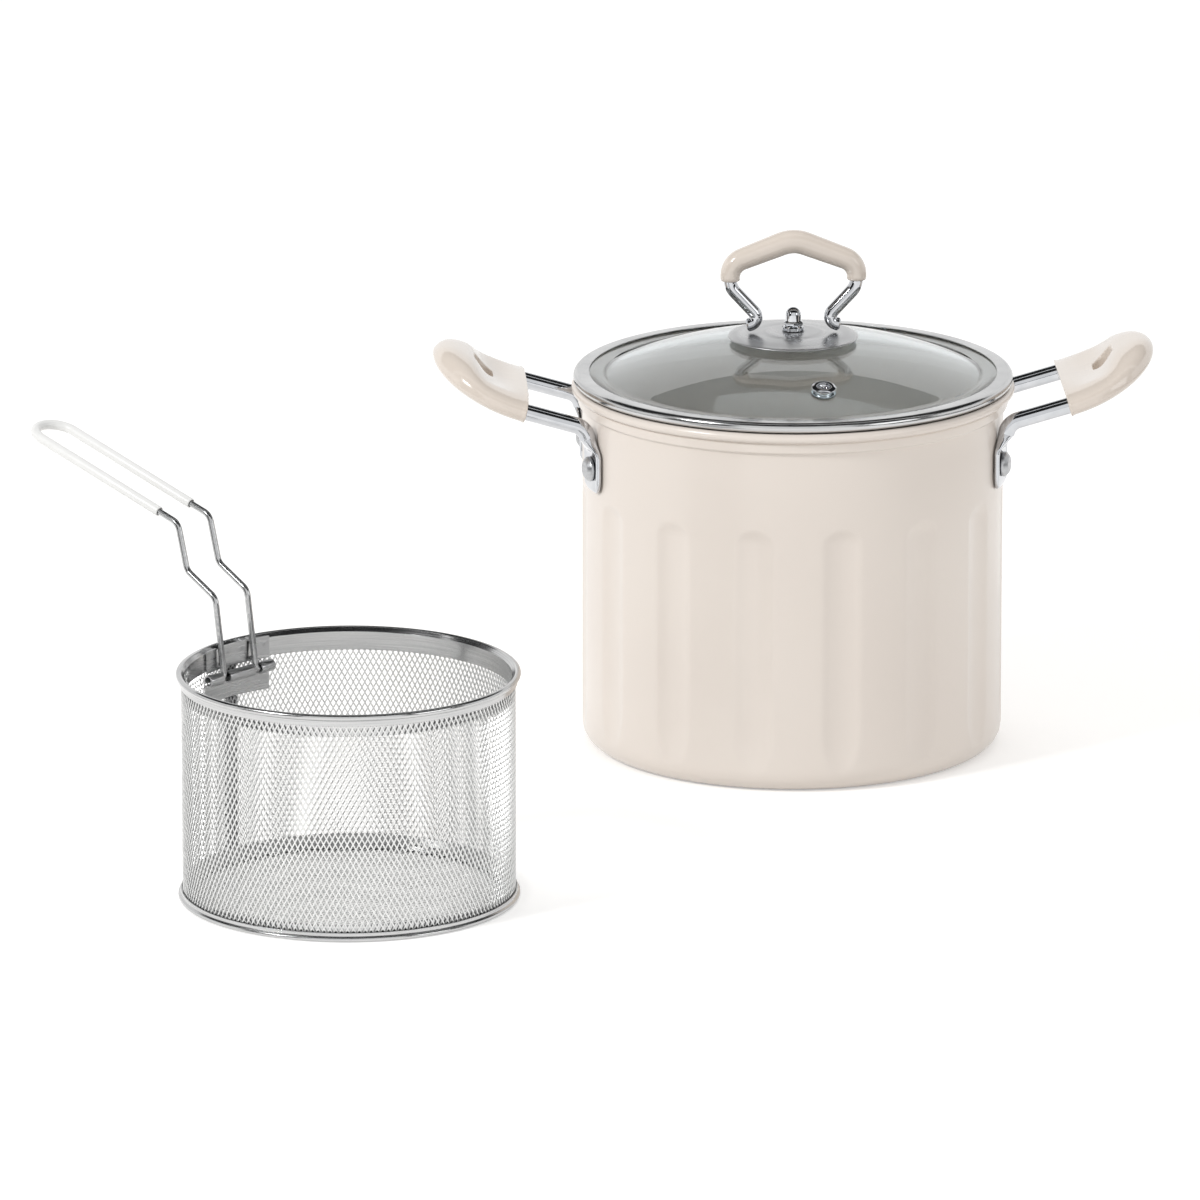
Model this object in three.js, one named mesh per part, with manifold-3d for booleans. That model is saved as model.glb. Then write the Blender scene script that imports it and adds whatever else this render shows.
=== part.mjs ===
// Deep fry pot with glass lid and wire basket.
// Millimetres, +Z up, +X towards the right side handle, -Y towards the viewer.
// The origin is the centre of the pot's underside.

import * as THREE from 'three';
import { mergeVertices } from 'three/addons/utils/BufferGeometryUtils.js';
import Module from 'manifold-3d';

// Clearances and fineness shared by all pieces
const FIT_GAP = 0.3;
const CUT_OVERRUN = 2;
const ROUND_STEPS = 36;
const SMALL_ROUND_STEPS = 12;
const WIRE_SIDES = 6;
const ROD_SIDES = 8;
const BEND_STEPS = 3;

// Pot body
const POT_INNER_RADIUS = 100;
const POT_WALL = 1.5;
const POT_HEIGHT = 178;
const POT_CORNER_RADIUS = 10;
const RIM_BEAD_RADIUS = 2.2;
const RIM_OVERHANG = 5.5;
const RIM_BEAD_START_ANGLE = -70;
const RIM_BEAD_END_ANGLE = 180;
const NECK_HEIGHT = 4;
const FLUTE_COUNT = 15;
const FLUTE_WIDTH = 18.5;
const FLUTE_DEPTH = 1.8;
const FLUTE_TOP_DROP = 49;
const FLUTE_END_LENGTH = 9;
const FLUTE_AZIMUTH = -80;

// Side handles
const ROD_RADIUS = 4;
const HANDLE_LEG_SPACING = 66;
const HANDLE_BEND_DROP = 20;
const HANDLE_LEG_LENGTH = 26;
const HANDLE_TAB_WIDTH = 18;
const HANDLE_TAB_THICKNESS = 3;
const HANDLE_TAB_LENGTH = 20;
const TAB_END_WIDTH_SHARE = 0.5;
const TAB_SHOULDER_WIDTH_SHARE = 0.85;
const TAB_SHOULDER_RISE_SHARE = 0.25;
const TAB_FULL_RISE_SHARE = 0.75;
const TAB_TOP_DROP_SHARE = 0.3;
const TAB_NECK_RISE_SHARE = 0.4;
const TAB_CORNER_SHARE = 0.4;
const TAB_NECK_CORNER_SHARE = 0.7;
const HANDLE_BEND_RADIUS = 8;
const HANDLE_ARM_ANGLE = 16;
const HANDLE_ARM_LENGTH = 25;
const LOOP_CORNER_RADIUS = 22;
const GRIP_LENGTH = 49;
const GRIP_SIDE_WALL = 5;
const GRIP_COVER = 1.7;
const GRIP_END_WALL = 9;
const GRIP_CURL_ANGLE = 26;
const GRIP_SCOOP = 2.6;
const HANG_HOLE_LENGTH = 9;
const HANG_HOLE_WIDTH = 15;
const HANG_HOLE_FROM_ROOT = 20.5;
const GRIP_PLAN_POWER_SHARE = 2.4;
const GRIP_END_POWER_SHARE = 8;
const GRIP_CORNER_SHARE = 0.6;
const GRIP_SCOOP_SHARE = 0.75;
const GRIP_RING_SHARES = [0, 0.15, 0.3, 0.45, 0.6, 0.75, 0.88, 0.97];
const GRIP_SIDES = 16;

// Rivets that hold the side handles
const RIVET_RISE = 12;
const RIVET_SHANK_RADIUS = 2.5;
const RIVET_HEAD_RADIUS = 6;
const RIVET_HEAD_RISE = 3;
const RIVET_INNER_RADIUS = 5;
const RIVET_INNER_THICKNESS = 1.2;

// Glass lid and its steel rim
const GLASS_THICKNESS = 3.5;
const GLASS_DOME_RISE = 17.4;
const GLASS_LEDGE = 13;
const LID_RIM_STEEL = 0.5;
const LID_RIM_INSET = 1;
const LID_RIM_BEAD = 1.8;
const LID_RIM_LIP = 6;
const LID_FLANGE_DEPTH = 2.6;
const LID_FLANGE_PLAY = 0.8;

// Steam vent in the glass
const VENT_DISTANCE = 67;
const VENT_AZIMUTH = -81;
const VENT_BORE_RADIUS = 2.2;
const VENT_SLEEVE_WALL = 1.8;
const VENT_FLANGE_RADIUS = 5.9;
const VENT_FLANGE_THICKNESS = 1.2;

// Lid handle: plate, bolt, nut, washers, wire loop and grip
const PLATE_RADIUS = 31.3;
const PLATE_THICKNESS = 1;
const PLATE_DROP = 2.3;
const GASKET_THICKNESS = 1.4;
const GASKET_RADIUS = 11;
const BOLT_RADIUS = 2.4;
const BOLT_HEAD_RADIUS = 4.5;
const BOLT_HEAD_HEIGHT = 3;
const NUT_ACROSS_CORNERS = 10.6;
const NUT_HEX_HEIGHT = 4.7;
const NUT_DOME_RADIUS = 3.8;
const NUT_DOME_ANGLE = 60;
const NUT_HEIGHT = 11.2;
const NUT_CROWN = 2.2;
const LOOP_RADIUS = 3.25;
const LOOP_FOOT_REACH = 22.5;
const LOOP_THROAT = 14.5;
const LOOP_THROAT_RISE = 1.8;
const LOOP_SHOULDER = 30.4;
const LOOP_SHOULDER_RISE = 25;
const LOOP_SIDE_LENGTH = 11.5;
const LOOP_PEAK_RISE = 11.8;
const LOOP_SHARP_BEND = 3.8;
const LOOP_SOFT_BEND = 9;
const LOOP_APEX_BEND = 16;
const LOOP_GRIP_FROM_SHOULDER = 3;
const LOOP_GRIP_END_RADIUS = 4.75;
const LOOP_GRIP_APEX_RADIUS = 5.7;

// Basket
const BASKET_X = -222;
const BASKET_Y = -260;
const BASKET_HANDLE_AZIMUTH = 134;
const BASKET_RADIUS = 77;
const BASKET_HEIGHT = 108;
const NET_THICKNESS = 0.8;
const STRAND_WIDTH = 2.2;
const SIDE_NET_COLUMNS = 24;
const SIDE_NET_ROWS = 5;
const BOTTOM_NET_PITCH_X = 18;
const BOTTOM_NET_PITCH_Y = 30;
const BOTTOM_NET_BORDER = 3;
const BAND_STEEL = 0.6;
const RIM_BAND_HEIGHT = 11;
const RIM_BAND_OUTER_HEIGHT = 5.7;
const RIM_BAND_BEAD_RADIUS = 1.5;
const RIM_BAND_OVERHANG = 1.7;
const BAND_BEAD_START_ANGLE = -80;
const BAND_BEAD_END_ANGLE = 150;
const BASE_RING_HEIGHT = 7.5;
const BASE_RING_OUTER_HEIGHT = 4.2;
const BASE_RING_BEAD_RADIUS = 1.2;
const BASE_RING_LIP = 5;
const SEAM_STRIP_WIDTH = 7;

// Basket bracket, which carries the folding handle
const BRACKET_STEEL = 0.8;
const BRACKET_WIDTH = 42;
const BRACKET_FLANGE_HEIGHT = 10;
const PIVOT_DROP = 15;
const PIVOT_INSET = 5;
const BASKET_WIRE_RADIUS = 1.5;
const WIRE_PLAY = 0.5;
const WIRE_LEG_SPACING = 20.8;
const WIRE_STUB_INSET = 2;
const WIRE_STUB_BEND = 2;
const SLOT_PLAY = 0.8;
const UPPER_PLATE_HEIGHT = 10.5;

// Basket handle, seen from the side: outwards and upwards from its pivot
const LEG_LEAN = 5.4;
const LEG_RISE = 37.3;
const JOG_REACH = 18.5;
const JOG_RISE = 9.9;
const STEP_REACH = 5.8;
const STEP_RISE = 21.8;
const ARM_REACH = 101;
const ARM_RISE = 27.8;
const ARM_BEND = 6;
const SLEEVE_FROM_STEP = 12.5;
const SLEEVE_WALL = 0.55;

// Finishes
const FINISH = {
  enamel: { color: 0xe8e1d9, roughness: 0.32, metalness: 0 },
  grip: { color: 0xe8e0d8, roughness: 0.25, metalness: 0 },
  chrome: { color: 0xcfd0d2, roughness: 0.08, metalness: 1 },
  rivet: { color: 0xb9bbbd, roughness: 0.4, metalness: 1 },
  glass: { color: 0xc3cacd, roughness: 0.05, metalness: 0 },
  steel: { color: 0xc6c6c4, roughness: 0.28, metalness: 1 },
  silicone: { color: 0xdedcd8, roughness: 0.6, metalness: 0 },
  sleeve: { color: 0xf1f1ef, roughness: 0.45, metalness: 0 },
};

// Sizes that follow from the ones above
const POT_OUTER_RADIUS = POT_INNER_RADIUS + POT_WALL;
const RIM_BEAD_CENTRE = POT_OUTER_RADIUS + RIM_OVERHANG - RIM_BEAD_RADIUS;
const RIM_BEAD_HEIGHT = POT_HEIGHT - RIM_BEAD_RADIUS;
const NECK_BOTTOM = POT_HEIGHT - 2 * RIM_BEAD_RADIUS - NECK_HEIGHT;
const FLUTE_TOP = POT_HEIGHT - FLUTE_TOP_DROP;
const HANDLE_BEND_HEIGHT = POT_HEIGHT - HANDLE_BEND_DROP;
const HANDLE_FOOT_HEIGHT = HANDLE_BEND_HEIGHT - HANDLE_LEG_LENGTH;
const RIVET_HEIGHT = HANDLE_FOOT_HEIGHT + RIVET_RISE;
const LID_SEAT = POT_HEIGHT + FIT_GAP;
const LID_RIM_RADIUS = POT_OUTER_RADIUS + RIM_OVERHANG - LID_RIM_INSET;
const GLASS_EDGE_RADIUS = LID_RIM_RADIUS - LID_RIM_BEAD - FIT_GAP;
const GLASS_EDGE_BOTTOM = LID_SEAT + LID_RIM_STEEL + FIT_GAP;
const GLASS_DOME_RADIUS = GLASS_EDGE_RADIUS - GLASS_LEDGE;
const GLASS_SPHERE_RADIUS = (GLASS_DOME_RADIUS ** 2 + GLASS_DOME_RISE ** 2) / (2 * GLASS_DOME_RISE);
const GLASS_APEX_HEIGHT = GLASS_EDGE_BOTTOM + GLASS_THICKNESS + GLASS_DOME_RISE;
const GLASS_CENTRE_HEIGHT = GLASS_APEX_HEIGHT - GLASS_SPHERE_RADIUS;
const GASKET_TOP = GLASS_APEX_HEIGHT + FIT_GAP + GASKET_THICKNESS;
const PLATE_SPHERE_RADIUS = (PLATE_RADIUS ** 2 + PLATE_DROP ** 2) / (2 * PLATE_DROP);
const PLATE_SAG_AT_GASKET = PLATE_SPHERE_RADIUS - Math.sqrt(PLATE_SPHERE_RADIUS ** 2 - GASKET_RADIUS ** 2);
const PLATE_TOP = GASKET_TOP + FIT_GAP + PLATE_THICKNESS + PLATE_SAG_AT_GASKET;
const LOOP_SHOULDER_HEIGHT = GLASS_APEX_HEIGHT + LOOP_SHOULDER_RISE;
const LOOP_TURN_HEIGHT = LOOP_SHOULDER_HEIGHT + LOOP_SIDE_LENGTH;
const LOOP_APEX_HEIGHT = LOOP_TURN_HEIGHT + LOOP_PEAK_RISE;
const LOOP_GRIP_START = LOOP_SHOULDER_HEIGHT + LOOP_GRIP_FROM_SHOULDER;
const NET_INNER_RADIUS = BASKET_RADIUS - NET_THICKNESS / 2;
const NET_OUTER_RADIUS = BASKET_RADIUS + NET_THICKNESS / 2;
const BAND_STEPS = 2 * SIDE_NET_COLUMNS;
const BAND_INNER_RADIUS = NET_INNER_RADIUS - FIT_GAP - BAND_STEEL;
const BAND_OUTER_RADIUS = NET_OUTER_RADIUS + FIT_GAP + BAND_STEEL;
const RIM_BAND_BOTTOM = BASKET_HEIGHT - RIM_BAND_HEIGHT;
const RIM_BAND_OUTER_BOTTOM = BASKET_HEIGHT - RIM_BAND_OUTER_HEIGHT;
const BOTTOM_NET_HEIGHT = BAND_STEEL + FIT_GAP + NET_THICKNESS / 2;
const BASE_LIP_TOP = BOTTOM_NET_HEIGHT + NET_THICKNESS / 2 + FIT_GAP + BAND_STEEL;
const PIVOT_RADIUS = BAND_INNER_RADIUS - PIVOT_INSET;
const PIVOT_HEIGHT = BASKET_HEIGHT - PIVOT_DROP;
const CHANNEL_BORE_RADIUS = BASKET_WIRE_RADIUS + WIRE_PLAY;
const CHANNEL_RADIUS = CHANNEL_BORE_RADIUS + BRACKET_STEEL;
const SHELF_TOP = PIVOT_HEIGHT - CHANNEL_BORE_RADIUS;
const FLANGE_BOTTOM = SHELF_TOP - BRACKET_FLANGE_HEIGHT;
const FLANGE_OUTER_RADIUS = NET_INNER_RADIUS - FIT_GAP;
const UPPER_PLATE_BOTTOM = PIVOT_HEIGHT + CHANNEL_RADIUS + 2 * FIT_GAP;

const radians = THREE.MathUtils.degToRad;
const wasm = await Module();
wasm.setup();

// Small helpers for closed shapes

// Shares vertices and turns the faces outwards.
function tidy(geometry) {
  geometry.deleteAttribute('normal');
  geometry.deleteAttribute('uv');
  const merged = mergeVertices(geometry);
  const place = merged.getAttribute('position');
  const corners = merged.index.array;
  const [a, b, c] = [new THREE.Vector3(), new THREE.Vector3(), new THREE.Vector3()];
  let volume = 0;
  for (let i = 0; i < corners.length; i += 3) {
    a.fromBufferAttribute(place, corners[i]);
    b.fromBufferAttribute(place, corners[i + 1]);
    c.fromBufferAttribute(place, corners[i + 2]);
    volume += a.dot(b.cross(c));
  }
  if (volume < 0) {
    const flipped = Array.from(corners);
    for (let i = 0; i < flipped.length; i += 3) {
      [flipped[i + 1], flipped[i + 2]] = [flipped[i + 2], flipped[i + 1]];
    }
    merged.setIndex(flipped);
  }
  return merged;
}

function solidOf(geometry) {
  const merged = tidy(geometry);
  return new wasm.Manifold(new wasm.Mesh({
    numProp: 3,
    vertProperties: new Float32Array(merged.getAttribute('position').array),
    triVerts: new Uint32Array(merged.index.array),
  }));
}

function geometryOf(solid) {
  const mesh = solid.getMesh();
  const geometry = new THREE.BufferGeometry();
  geometry.setAttribute('position', new THREE.Float32BufferAttribute(mesh.vertProperties, 3));
  geometry.setIndex(Array.from(mesh.triVerts));
  return geometry;
}

function cut(geometry, ...tools) {
  let solid = solidOf(geometry);
  for (const tool of tools) {
    solid = solid.subtract(solidOf(tool));
  }
  return geometryOf(solid);
}

function join(...geometries) {
  let solid = solidOf(geometries[0]);
  for (const other of geometries.slice(1)) {
    solid = solid.add(solidOf(other));
  }
  return geometryOf(solid);
}

function fromFaces(points, faces) {
  const geometry = new THREE.BufferGeometry();
  geometry.setAttribute('position', new THREE.Float32BufferAttribute(points.flat(), 3));
  geometry.setIndex(faces.flat());
  return geometry;
}

// Turns a closed outline of [radius, height] pairs about the Z axis.
function turned(outline, steps = ROUND_STEPS) {
  const points = [...outline, outline[0]].map(([radius, height]) => new THREE.Vector2(radius, height));
  return new THREE.LatheGeometry(points, steps).rotateX(Math.PI / 2);
}

// Points of an arc in an outline, from one angle to another in degrees.
function arc(centreRadius, centreHeight, radius, from, to, steps) {
  const points = [];
  for (let i = 0; i <= steps; i += 1) {
    const angle = radians(from + (to - from) * i / steps);
    points.push([centreRadius + radius * Math.cos(angle), centreHeight + radius * Math.sin(angle)]);
  }
  return points;
}

// A bar along Z, turned by half a step so that no corner lies on a middle plane.
function roundBar(radius, length, steps = SMALL_ROUND_STEPS) {
  const bar = new THREE.CylinderGeometry(radius, radius, length, steps);
  return bar.rotateY(Math.PI / steps).rotateX(Math.PI / 2);
}

// A curved strip round the Z axis, centred on +X.
function curvedStrip(innerRadius, outerRadius, width, bottom, top, steps = 6) {
  const half = Math.asin(width / 2 / outerRadius);
  const shape = new THREE.Shape();
  shape.absarc(0, 0, outerRadius, -half, half, false);
  shape.absarc(0, 0, innerRadius, half, -half, true);
  const settings = { depth: top - bottom, bevelEnabled: false, curveSegments: steps };
  return new THREE.ExtrudeGeometry(shape, settings).translate(0, 0, bottom);
}

// A bent wire's route: straight runs with a round bend at each inner corner.
function bentRoute(corners, bendSteps = BEND_STEPS) {
  const stations = [];
  const first = corners[0].at;
  const last = corners[corners.length - 1].at;
  const push = (point, tangent) => {
    const previous = stations[stations.length - 1];
    if (!previous || previous.point.distanceTo(point) > FIT_GAP / 10) {
      stations.push({ point, tangent });
    }
  };
  push(first.clone(), corners[1].at.clone().sub(first).normalize());
  for (let i = 1; i < corners.length - 1; i += 1) {
    const { at, radius } = corners[i];
    const arriving = at.clone().sub(corners[i - 1].at).normalize();
    const leaving = corners[i + 1].at.clone().sub(at).normalize();
    const turn = arriving.angleTo(leaving);
    const inset = radius * Math.tan(turn / 2);
    const start = at.clone().addScaledVector(arriving, -inset);
    const across = leaving.clone().addScaledVector(arriving, -leaving.dot(arriving)).normalize();
    const centre = start.clone().addScaledVector(across, radius);
    for (let step = 0; step <= bendSteps; step += 1) {
      const angle = turn * step / bendSteps;
      const point = centre.clone();
      point.addScaledVector(across, -radius * Math.cos(angle));
      point.addScaledVector(arriving, radius * Math.sin(angle));
      const tangent = arriving.clone().multiplyScalar(Math.cos(angle));
      push(point, tangent.addScaledVector(across, Math.sin(angle)));
    }
  }
  push(last.clone(), last.clone().sub(corners[corners.length - 2].at).normalize());
  return stations;
}

// A curve that passes exactly through a route's stations.
class RouteCurve extends THREE.Curve {
  constructor(stations) {
    super();
    this.stations = stations;
  }

  station(share) {
    return this.stations[Math.round(share * (this.stations.length - 1))];
  }

  getPointAt(share) {
    return this.station(share).point.clone();
  }

  getTangentAt(share) {
    return this.station(share).tangent.clone();
  }
}

function circlePoints(radius, sides) {
  const points = [];
  for (let i = 0; i < sides; i += 1) {
    const angle = 2 * Math.PI * i / sides;
    points.push(new THREE.Vector2(radius * Math.cos(angle), radius * Math.sin(angle)));
  }
  return points;
}

function wire(stations, radius, sides, boreRadius = 0) {
  const section = new THREE.Shape(circlePoints(radius, sides));
  if (boreRadius > 0) {
    section.holes.push(new THREE.Path(circlePoints(boreRadius, sides).reverse()));
  }
  return new THREE.ExtrudeGeometry(section, {
    steps: stations.length - 1,
    bevelEnabled: false,
    extrudePath: new RouteCurve(stations),
  });
}

// Skins closed rings of points, one ring after another, and closes both ends.
function skinned(rings) {
  const sides = rings[0].length;
  const points = rings.flat().map((point) => point.toArray());
  const faces = [];
  for (let ring = 0; ring < rings.length - 1; ring += 1) {
    for (let side = 0; side < sides; side += 1) {
      const next = (side + 1) % sides;
      const [a, b] = [ring * sides + side, ring * sides + next];
      faces.push([a, b, b + sides], [a, b + sides, a + sides]);
    }
  }
  for (const ring of [0, rings.length - 1]) {
    const middle = new THREE.Vector3();
    rings[ring].forEach((point) => middle.add(point));
    points.push(middle.divideScalar(sides).toArray());
    for (let side = 0; side < sides; side += 1) {
      const [a, b] = [ring * sides + side, ring * sides + (side + 1) % sides];
      faces.push(ring === 0 ? [b, a, points.length - 1] : [a, b, points.length - 1]);
    }
  }
  return fromFaces(points, faces);
}

// A ring of a loft: an oval whose corner share runs from 1, round, to 0, square.
function sectionRing({ centre, across, up, halfWidth, halfHeight, cornerShare = 1 }, sides) {
  const ring = [];
  for (let i = 0; i < sides; i += 1) {
    const angle = 2 * Math.PI * i / sides;
    const wide = Math.sign(Math.cos(angle)) * Math.abs(Math.cos(angle)) ** cornerShare;
    const high = Math.sign(Math.sin(angle)) * Math.abs(Math.sin(angle)) ** cornerShare;
    const point = centre.clone().addScaledVector(across, halfWidth * wide);
    ring.push(point.addScaledVector(up, halfHeight * high));
  }
  return ring;
}

// Pot body

// How far the flutes press the wall in, at an azimuth in degrees and a height.
function fluteDepth(azimuth, height) {
  const pitch = 360 / FLUTE_COUNT;
  const turns = (azimuth - FLUTE_AZIMUTH) / pitch;
  const aside = radians((turns - Math.round(turns)) * pitch) * POT_OUTER_RADIUS;
  const above = Math.max(0, height - (FLUTE_TOP - FLUTE_END_LENGTH));
  const below = Math.max(0, POT_CORNER_RADIUS + FLUTE_END_LENGTH - height);
  const share = Math.hypot(aside / (FLUTE_WIDTH / 2), (above + below) / FLUTE_END_LENGTH);
  return share < 1 ? FLUTE_DEPTH * Math.cos(share * Math.PI / 2) ** 2 : 0;
}

function potOutline() {
  const cornerCentre = POT_OUTER_RADIUS - POT_CORNER_RADIUS;
  const innerCornerRadius = POT_CORNER_RADIUS - POT_WALL;
  const outerCorner = arc(cornerCentre, POT_CORNER_RADIUS, POT_CORNER_RADIUS, -90, 0, 3);
  const innerCorner = arc(cornerCentre, POT_CORNER_RADIUS, innerCornerRadius, 0, -90, 2);
  const fluteHeights = [POT_CORNER_RADIUS + FLUTE_END_LENGTH, FLUTE_TOP - FLUTE_END_LENGTH, FLUTE_TOP];
  const bead = arc(
    RIM_BEAD_CENTRE,
    RIM_BEAD_HEIGHT,
    RIM_BEAD_RADIUS,
    RIM_BEAD_START_ANGLE,
    RIM_BEAD_END_ANGLE,
    5,
  );
  return [
    ...outerCorner,
    ...fluteHeights.map((height) => [POT_OUTER_RADIUS, height]),
    [POT_OUTER_RADIUS, NECK_BOTTOM],
    ...bead,
    [POT_INNER_RADIUS, NECK_BOTTOM],
    ...fluteHeights.reverse().map((height) => [POT_INNER_RADIUS, height]),
    ...innerCorner,
  ];
}

function potShell() {
  const pitch = 360 / FLUTE_COUNT;
  const widthShare = FLUTE_WIDTH / (2 * Math.PI * POT_OUTER_RADIUS / FLUTE_COUNT);
  const columnShares = [-0.5, -widthShare / 2, -widthShare / 6, widthShare / 6, widthShare / 2];
  const azimuths = [];
  for (let flute = 0; flute < FLUTE_COUNT; flute += 1) {
    columnShares.forEach((share) => azimuths.push(FLUTE_AZIMUTH + (flute + share) * pitch));
  }
  const outline = potOutline();
  const points = [];
  const faces = [];
  azimuths.forEach((azimuth, column) => {
    const angle = radians(azimuth);
    outline.forEach(([radius, height], row) => {
      const pressed = radius - fluteDepth(azimuth, height);
      points.push([pressed * Math.cos(angle), pressed * Math.sin(angle), height]);
      if (row < outline.length - 1) {
        const a = column * outline.length + row;
        const b = ((column + 1) % azimuths.length) * outline.length + row;
        faces.push([a, b, b + 1], [a, b + 1, a + 1]);
      }
    });
  });
  const underside = points.push([0, 0, 0]) - 1;
  const floor = points.push([0, 0, POT_WALL]) - 1;
  azimuths.forEach((_, column) => {
    const a = column * outline.length;
    const b = ((column + 1) % azimuths.length) * outline.length;
    faces.push([underside, b, a], [floor, a + outline.length - 1, b + outline.length - 1]);
  });
  const holes = [];
  for (const side of [0, Math.PI]) {
    for (const lean of [-handleAzimuth(), handleAzimuth()]) {
      const length = POT_WALL + 2 * CUT_OVERRUN;
      const hole = roundBar(RIVET_SHANK_RADIUS + FIT_GAP, length, SMALL_ROUND_STEPS);
      hole.rotateY(Math.PI / 2).translate(POT_INNER_RADIUS + POT_WALL / 2, 0, RIVET_HEIGHT);
      holes.push(hole.rotateZ(side + lean));
    }
  }
  return cut(fromFaces(points, faces), ...holes);
}

// Side handles

// How far round from the X axis each foot stands on the wall.
function handleAzimuth() {
  return Math.asin(HANDLE_LEG_SPACING / 2 / (POT_OUTER_RADIUS + FIT_GAP + ROD_RADIUS));
}

// The grip curls up along an arc: this places a point that lies some way along
// the arc, across it and above it.
function gripFrame(along) {
  const rise = radians(HANDLE_ARM_ANGLE);
  const curl = radians(GRIP_CURL_ANGLE) / GRIP_LENGTH;
  const legX = (POT_OUTER_RADIUS + FIT_GAP + ROD_RADIUS) * Math.cos(handleAzimuth());
  const rootX = legX + HANDLE_BEND_RADIUS * (1 - Math.sin(rise)) + HANDLE_ARM_LENGTH * Math.cos(rise);
  const rootZ = HANDLE_BEND_HEIGHT + HANDLE_BEND_RADIUS * Math.cos(rise) + HANDLE_ARM_LENGTH * Math.sin(rise);
  const angle = rise + curl * Math.max(0, along);
  const x = rootX + (Math.sin(angle) - Math.sin(rise)) / curl + Math.min(0, along) * Math.cos(rise);
  const z = rootZ - (Math.cos(angle) - Math.cos(rise)) / curl + Math.min(0, along) * Math.sin(rise);
  return { x, z, angle };
}

function onGrip(along, across, above = 0) {
  const { x, z, angle } = gripFrame(along);
  return new THREE.Vector3(x - above * Math.sin(angle), across, z + above * Math.cos(angle));
}

// Stations of the bent rod from its front foot to the middle of its loop.
function handleStations(swell) {
  const lean = -handleAzimuth();
  const out = new THREE.Vector3(Math.cos(lean), Math.sin(lean), 0);
  const up = new THREE.Vector3(0, 0, 1);
  const wall = POT_OUTER_RADIUS + FIT_GAP;
  const foot = (height, halfWidth, halfHeight, cornerShare) => ({
    centre: out.clone().multiplyScalar(wall + halfHeight).setZ(height),
    tangent: up,
    inward: out,
    halfWidth,
    halfHeight,
    cornerShare,
  });
  const round = { halfWidth: ROD_RADIUS + swell, halfHeight: ROD_RADIUS + swell, cornerShare: 1 };
  const [wide, thick] = [HANDLE_TAB_WIDTH / 2, HANDLE_TAB_THICKNESS / 2];
  const tabTop = HANDLE_FOOT_HEIGHT + HANDLE_TAB_LENGTH;
  const neck = HANDLE_BEND_HEIGHT - tabTop;
  const stations = [
    foot(HANDLE_FOOT_HEIGHT, wide * TAB_END_WIDTH_SHARE, thick, TAB_CORNER_SHARE),
    foot(
      HANDLE_FOOT_HEIGHT + wide * TAB_SHOULDER_RISE_SHARE,
      wide * TAB_SHOULDER_WIDTH_SHARE,
      thick,
      TAB_CORNER_SHARE,
    ),
    foot(HANDLE_FOOT_HEIGHT + wide * TAB_FULL_RISE_SHARE, wide, thick, TAB_CORNER_SHARE),
    foot(tabTop - wide * TAB_TOP_DROP_SHARE, wide, thick, TAB_CORNER_SHARE),
    foot(
      tabTop + neck * TAB_NECK_RISE_SHARE,
      (wide + ROD_RADIUS) / 2,
      (thick + ROD_RADIUS) / 2,
      TAB_NECK_CORNER_SHARE,
    ),
    foot(HANDLE_BEND_HEIGHT, ROD_RADIUS, ROD_RADIUS, 1),
  ];
  const legCentre = stations[stations.length - 1].centre;
  const rise = radians(HANDLE_ARM_ANGLE);
  const bendCentre = legCentre.clone().add(new THREE.Vector3(HANDLE_BEND_RADIUS, 0, 0));
  const bendTurn = Math.PI / 2 - rise;
  for (let step = 1; step <= BEND_STEPS + 1; step += 1) {
    const angle = bendTurn * step / (BEND_STEPS + 1);
    const inward = new THREE.Vector3(Math.cos(angle), 0, -Math.sin(angle));
    const tangent = new THREE.Vector3(Math.sin(angle), 0, Math.cos(angle));
    const centre = bendCentre.clone().addScaledVector(inward, -HANDLE_BEND_RADIUS);
    stations.push({ centre, tangent, inward, ...round });
  }
  const side = legCentre.y;
  const loopEnd = GRIP_LENGTH - GRIP_END_WALL - ROD_RADIUS;
  const cornerStart = loopEnd - LOOP_CORNER_RADIUS;
  const arms = [
    [-FIT_GAP, side, 0],
    [cornerStart / 2, side, 0],
  ];
  for (let step = 0; step <= 4; step += 1) {
    const angle = Math.PI / 2 * step / 4;
    const along = cornerStart + LOOP_CORNER_RADIUS * Math.sin(angle);
    arms.push([along, side + LOOP_CORNER_RADIUS * (1 - Math.cos(angle)), angle]);
  }
  arms.push([loopEnd, 0, Math.PI / 2]);
  for (const [along, across, angle] of arms) {
    const slope = gripFrame(along).angle;
    const ahead = new THREE.Vector3(Math.cos(slope), 0, Math.sin(slope));
    const tangent = ahead.clone().multiplyScalar(Math.cos(angle)).setY(Math.sin(angle));
    const inward = new THREE.Vector3(Math.sin(slope), 0, -Math.cos(slope));
    stations.push({ centre: onGrip(along, across), tangent, inward, ...round });
  }
  return stations;
}

// The whole rod's rings: the front half, then its mirror image back to the rear foot.
function handleRings(stations) {
  const front = stations.map((station) => {
    const across = new THREE.Vector3().crossVectors(station.tangent, station.inward);
    return sectionRing({ ...station, across, up: station.inward }, ROD_SIDES);
  });
  const mirror = new THREE.Vector3(1, -1, 1);
  const rear = front.slice(0, -1).map((ring) => ring.map((point) => point.clone().multiply(mirror)));
  return [...front, ...rear.reverse()];
}

function handleFrame() {
  const holes = [-handleAzimuth(), handleAzimuth()].map((lean) => {
    const hole = roundBar(RIVET_SHANK_RADIUS + FIT_GAP, HANDLE_TAB_THICKNESS + 2 * CUT_OVERRUN);
    const middle = POT_OUTER_RADIUS + FIT_GAP + HANDLE_TAB_THICKNESS / 2;
    return hole.rotateY(Math.PI / 2).translate(middle, 0, RIVET_HEIGHT).rotateZ(lean);
  });
  return cut(skinned(handleRings(handleStations(0))), ...holes);
}

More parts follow.
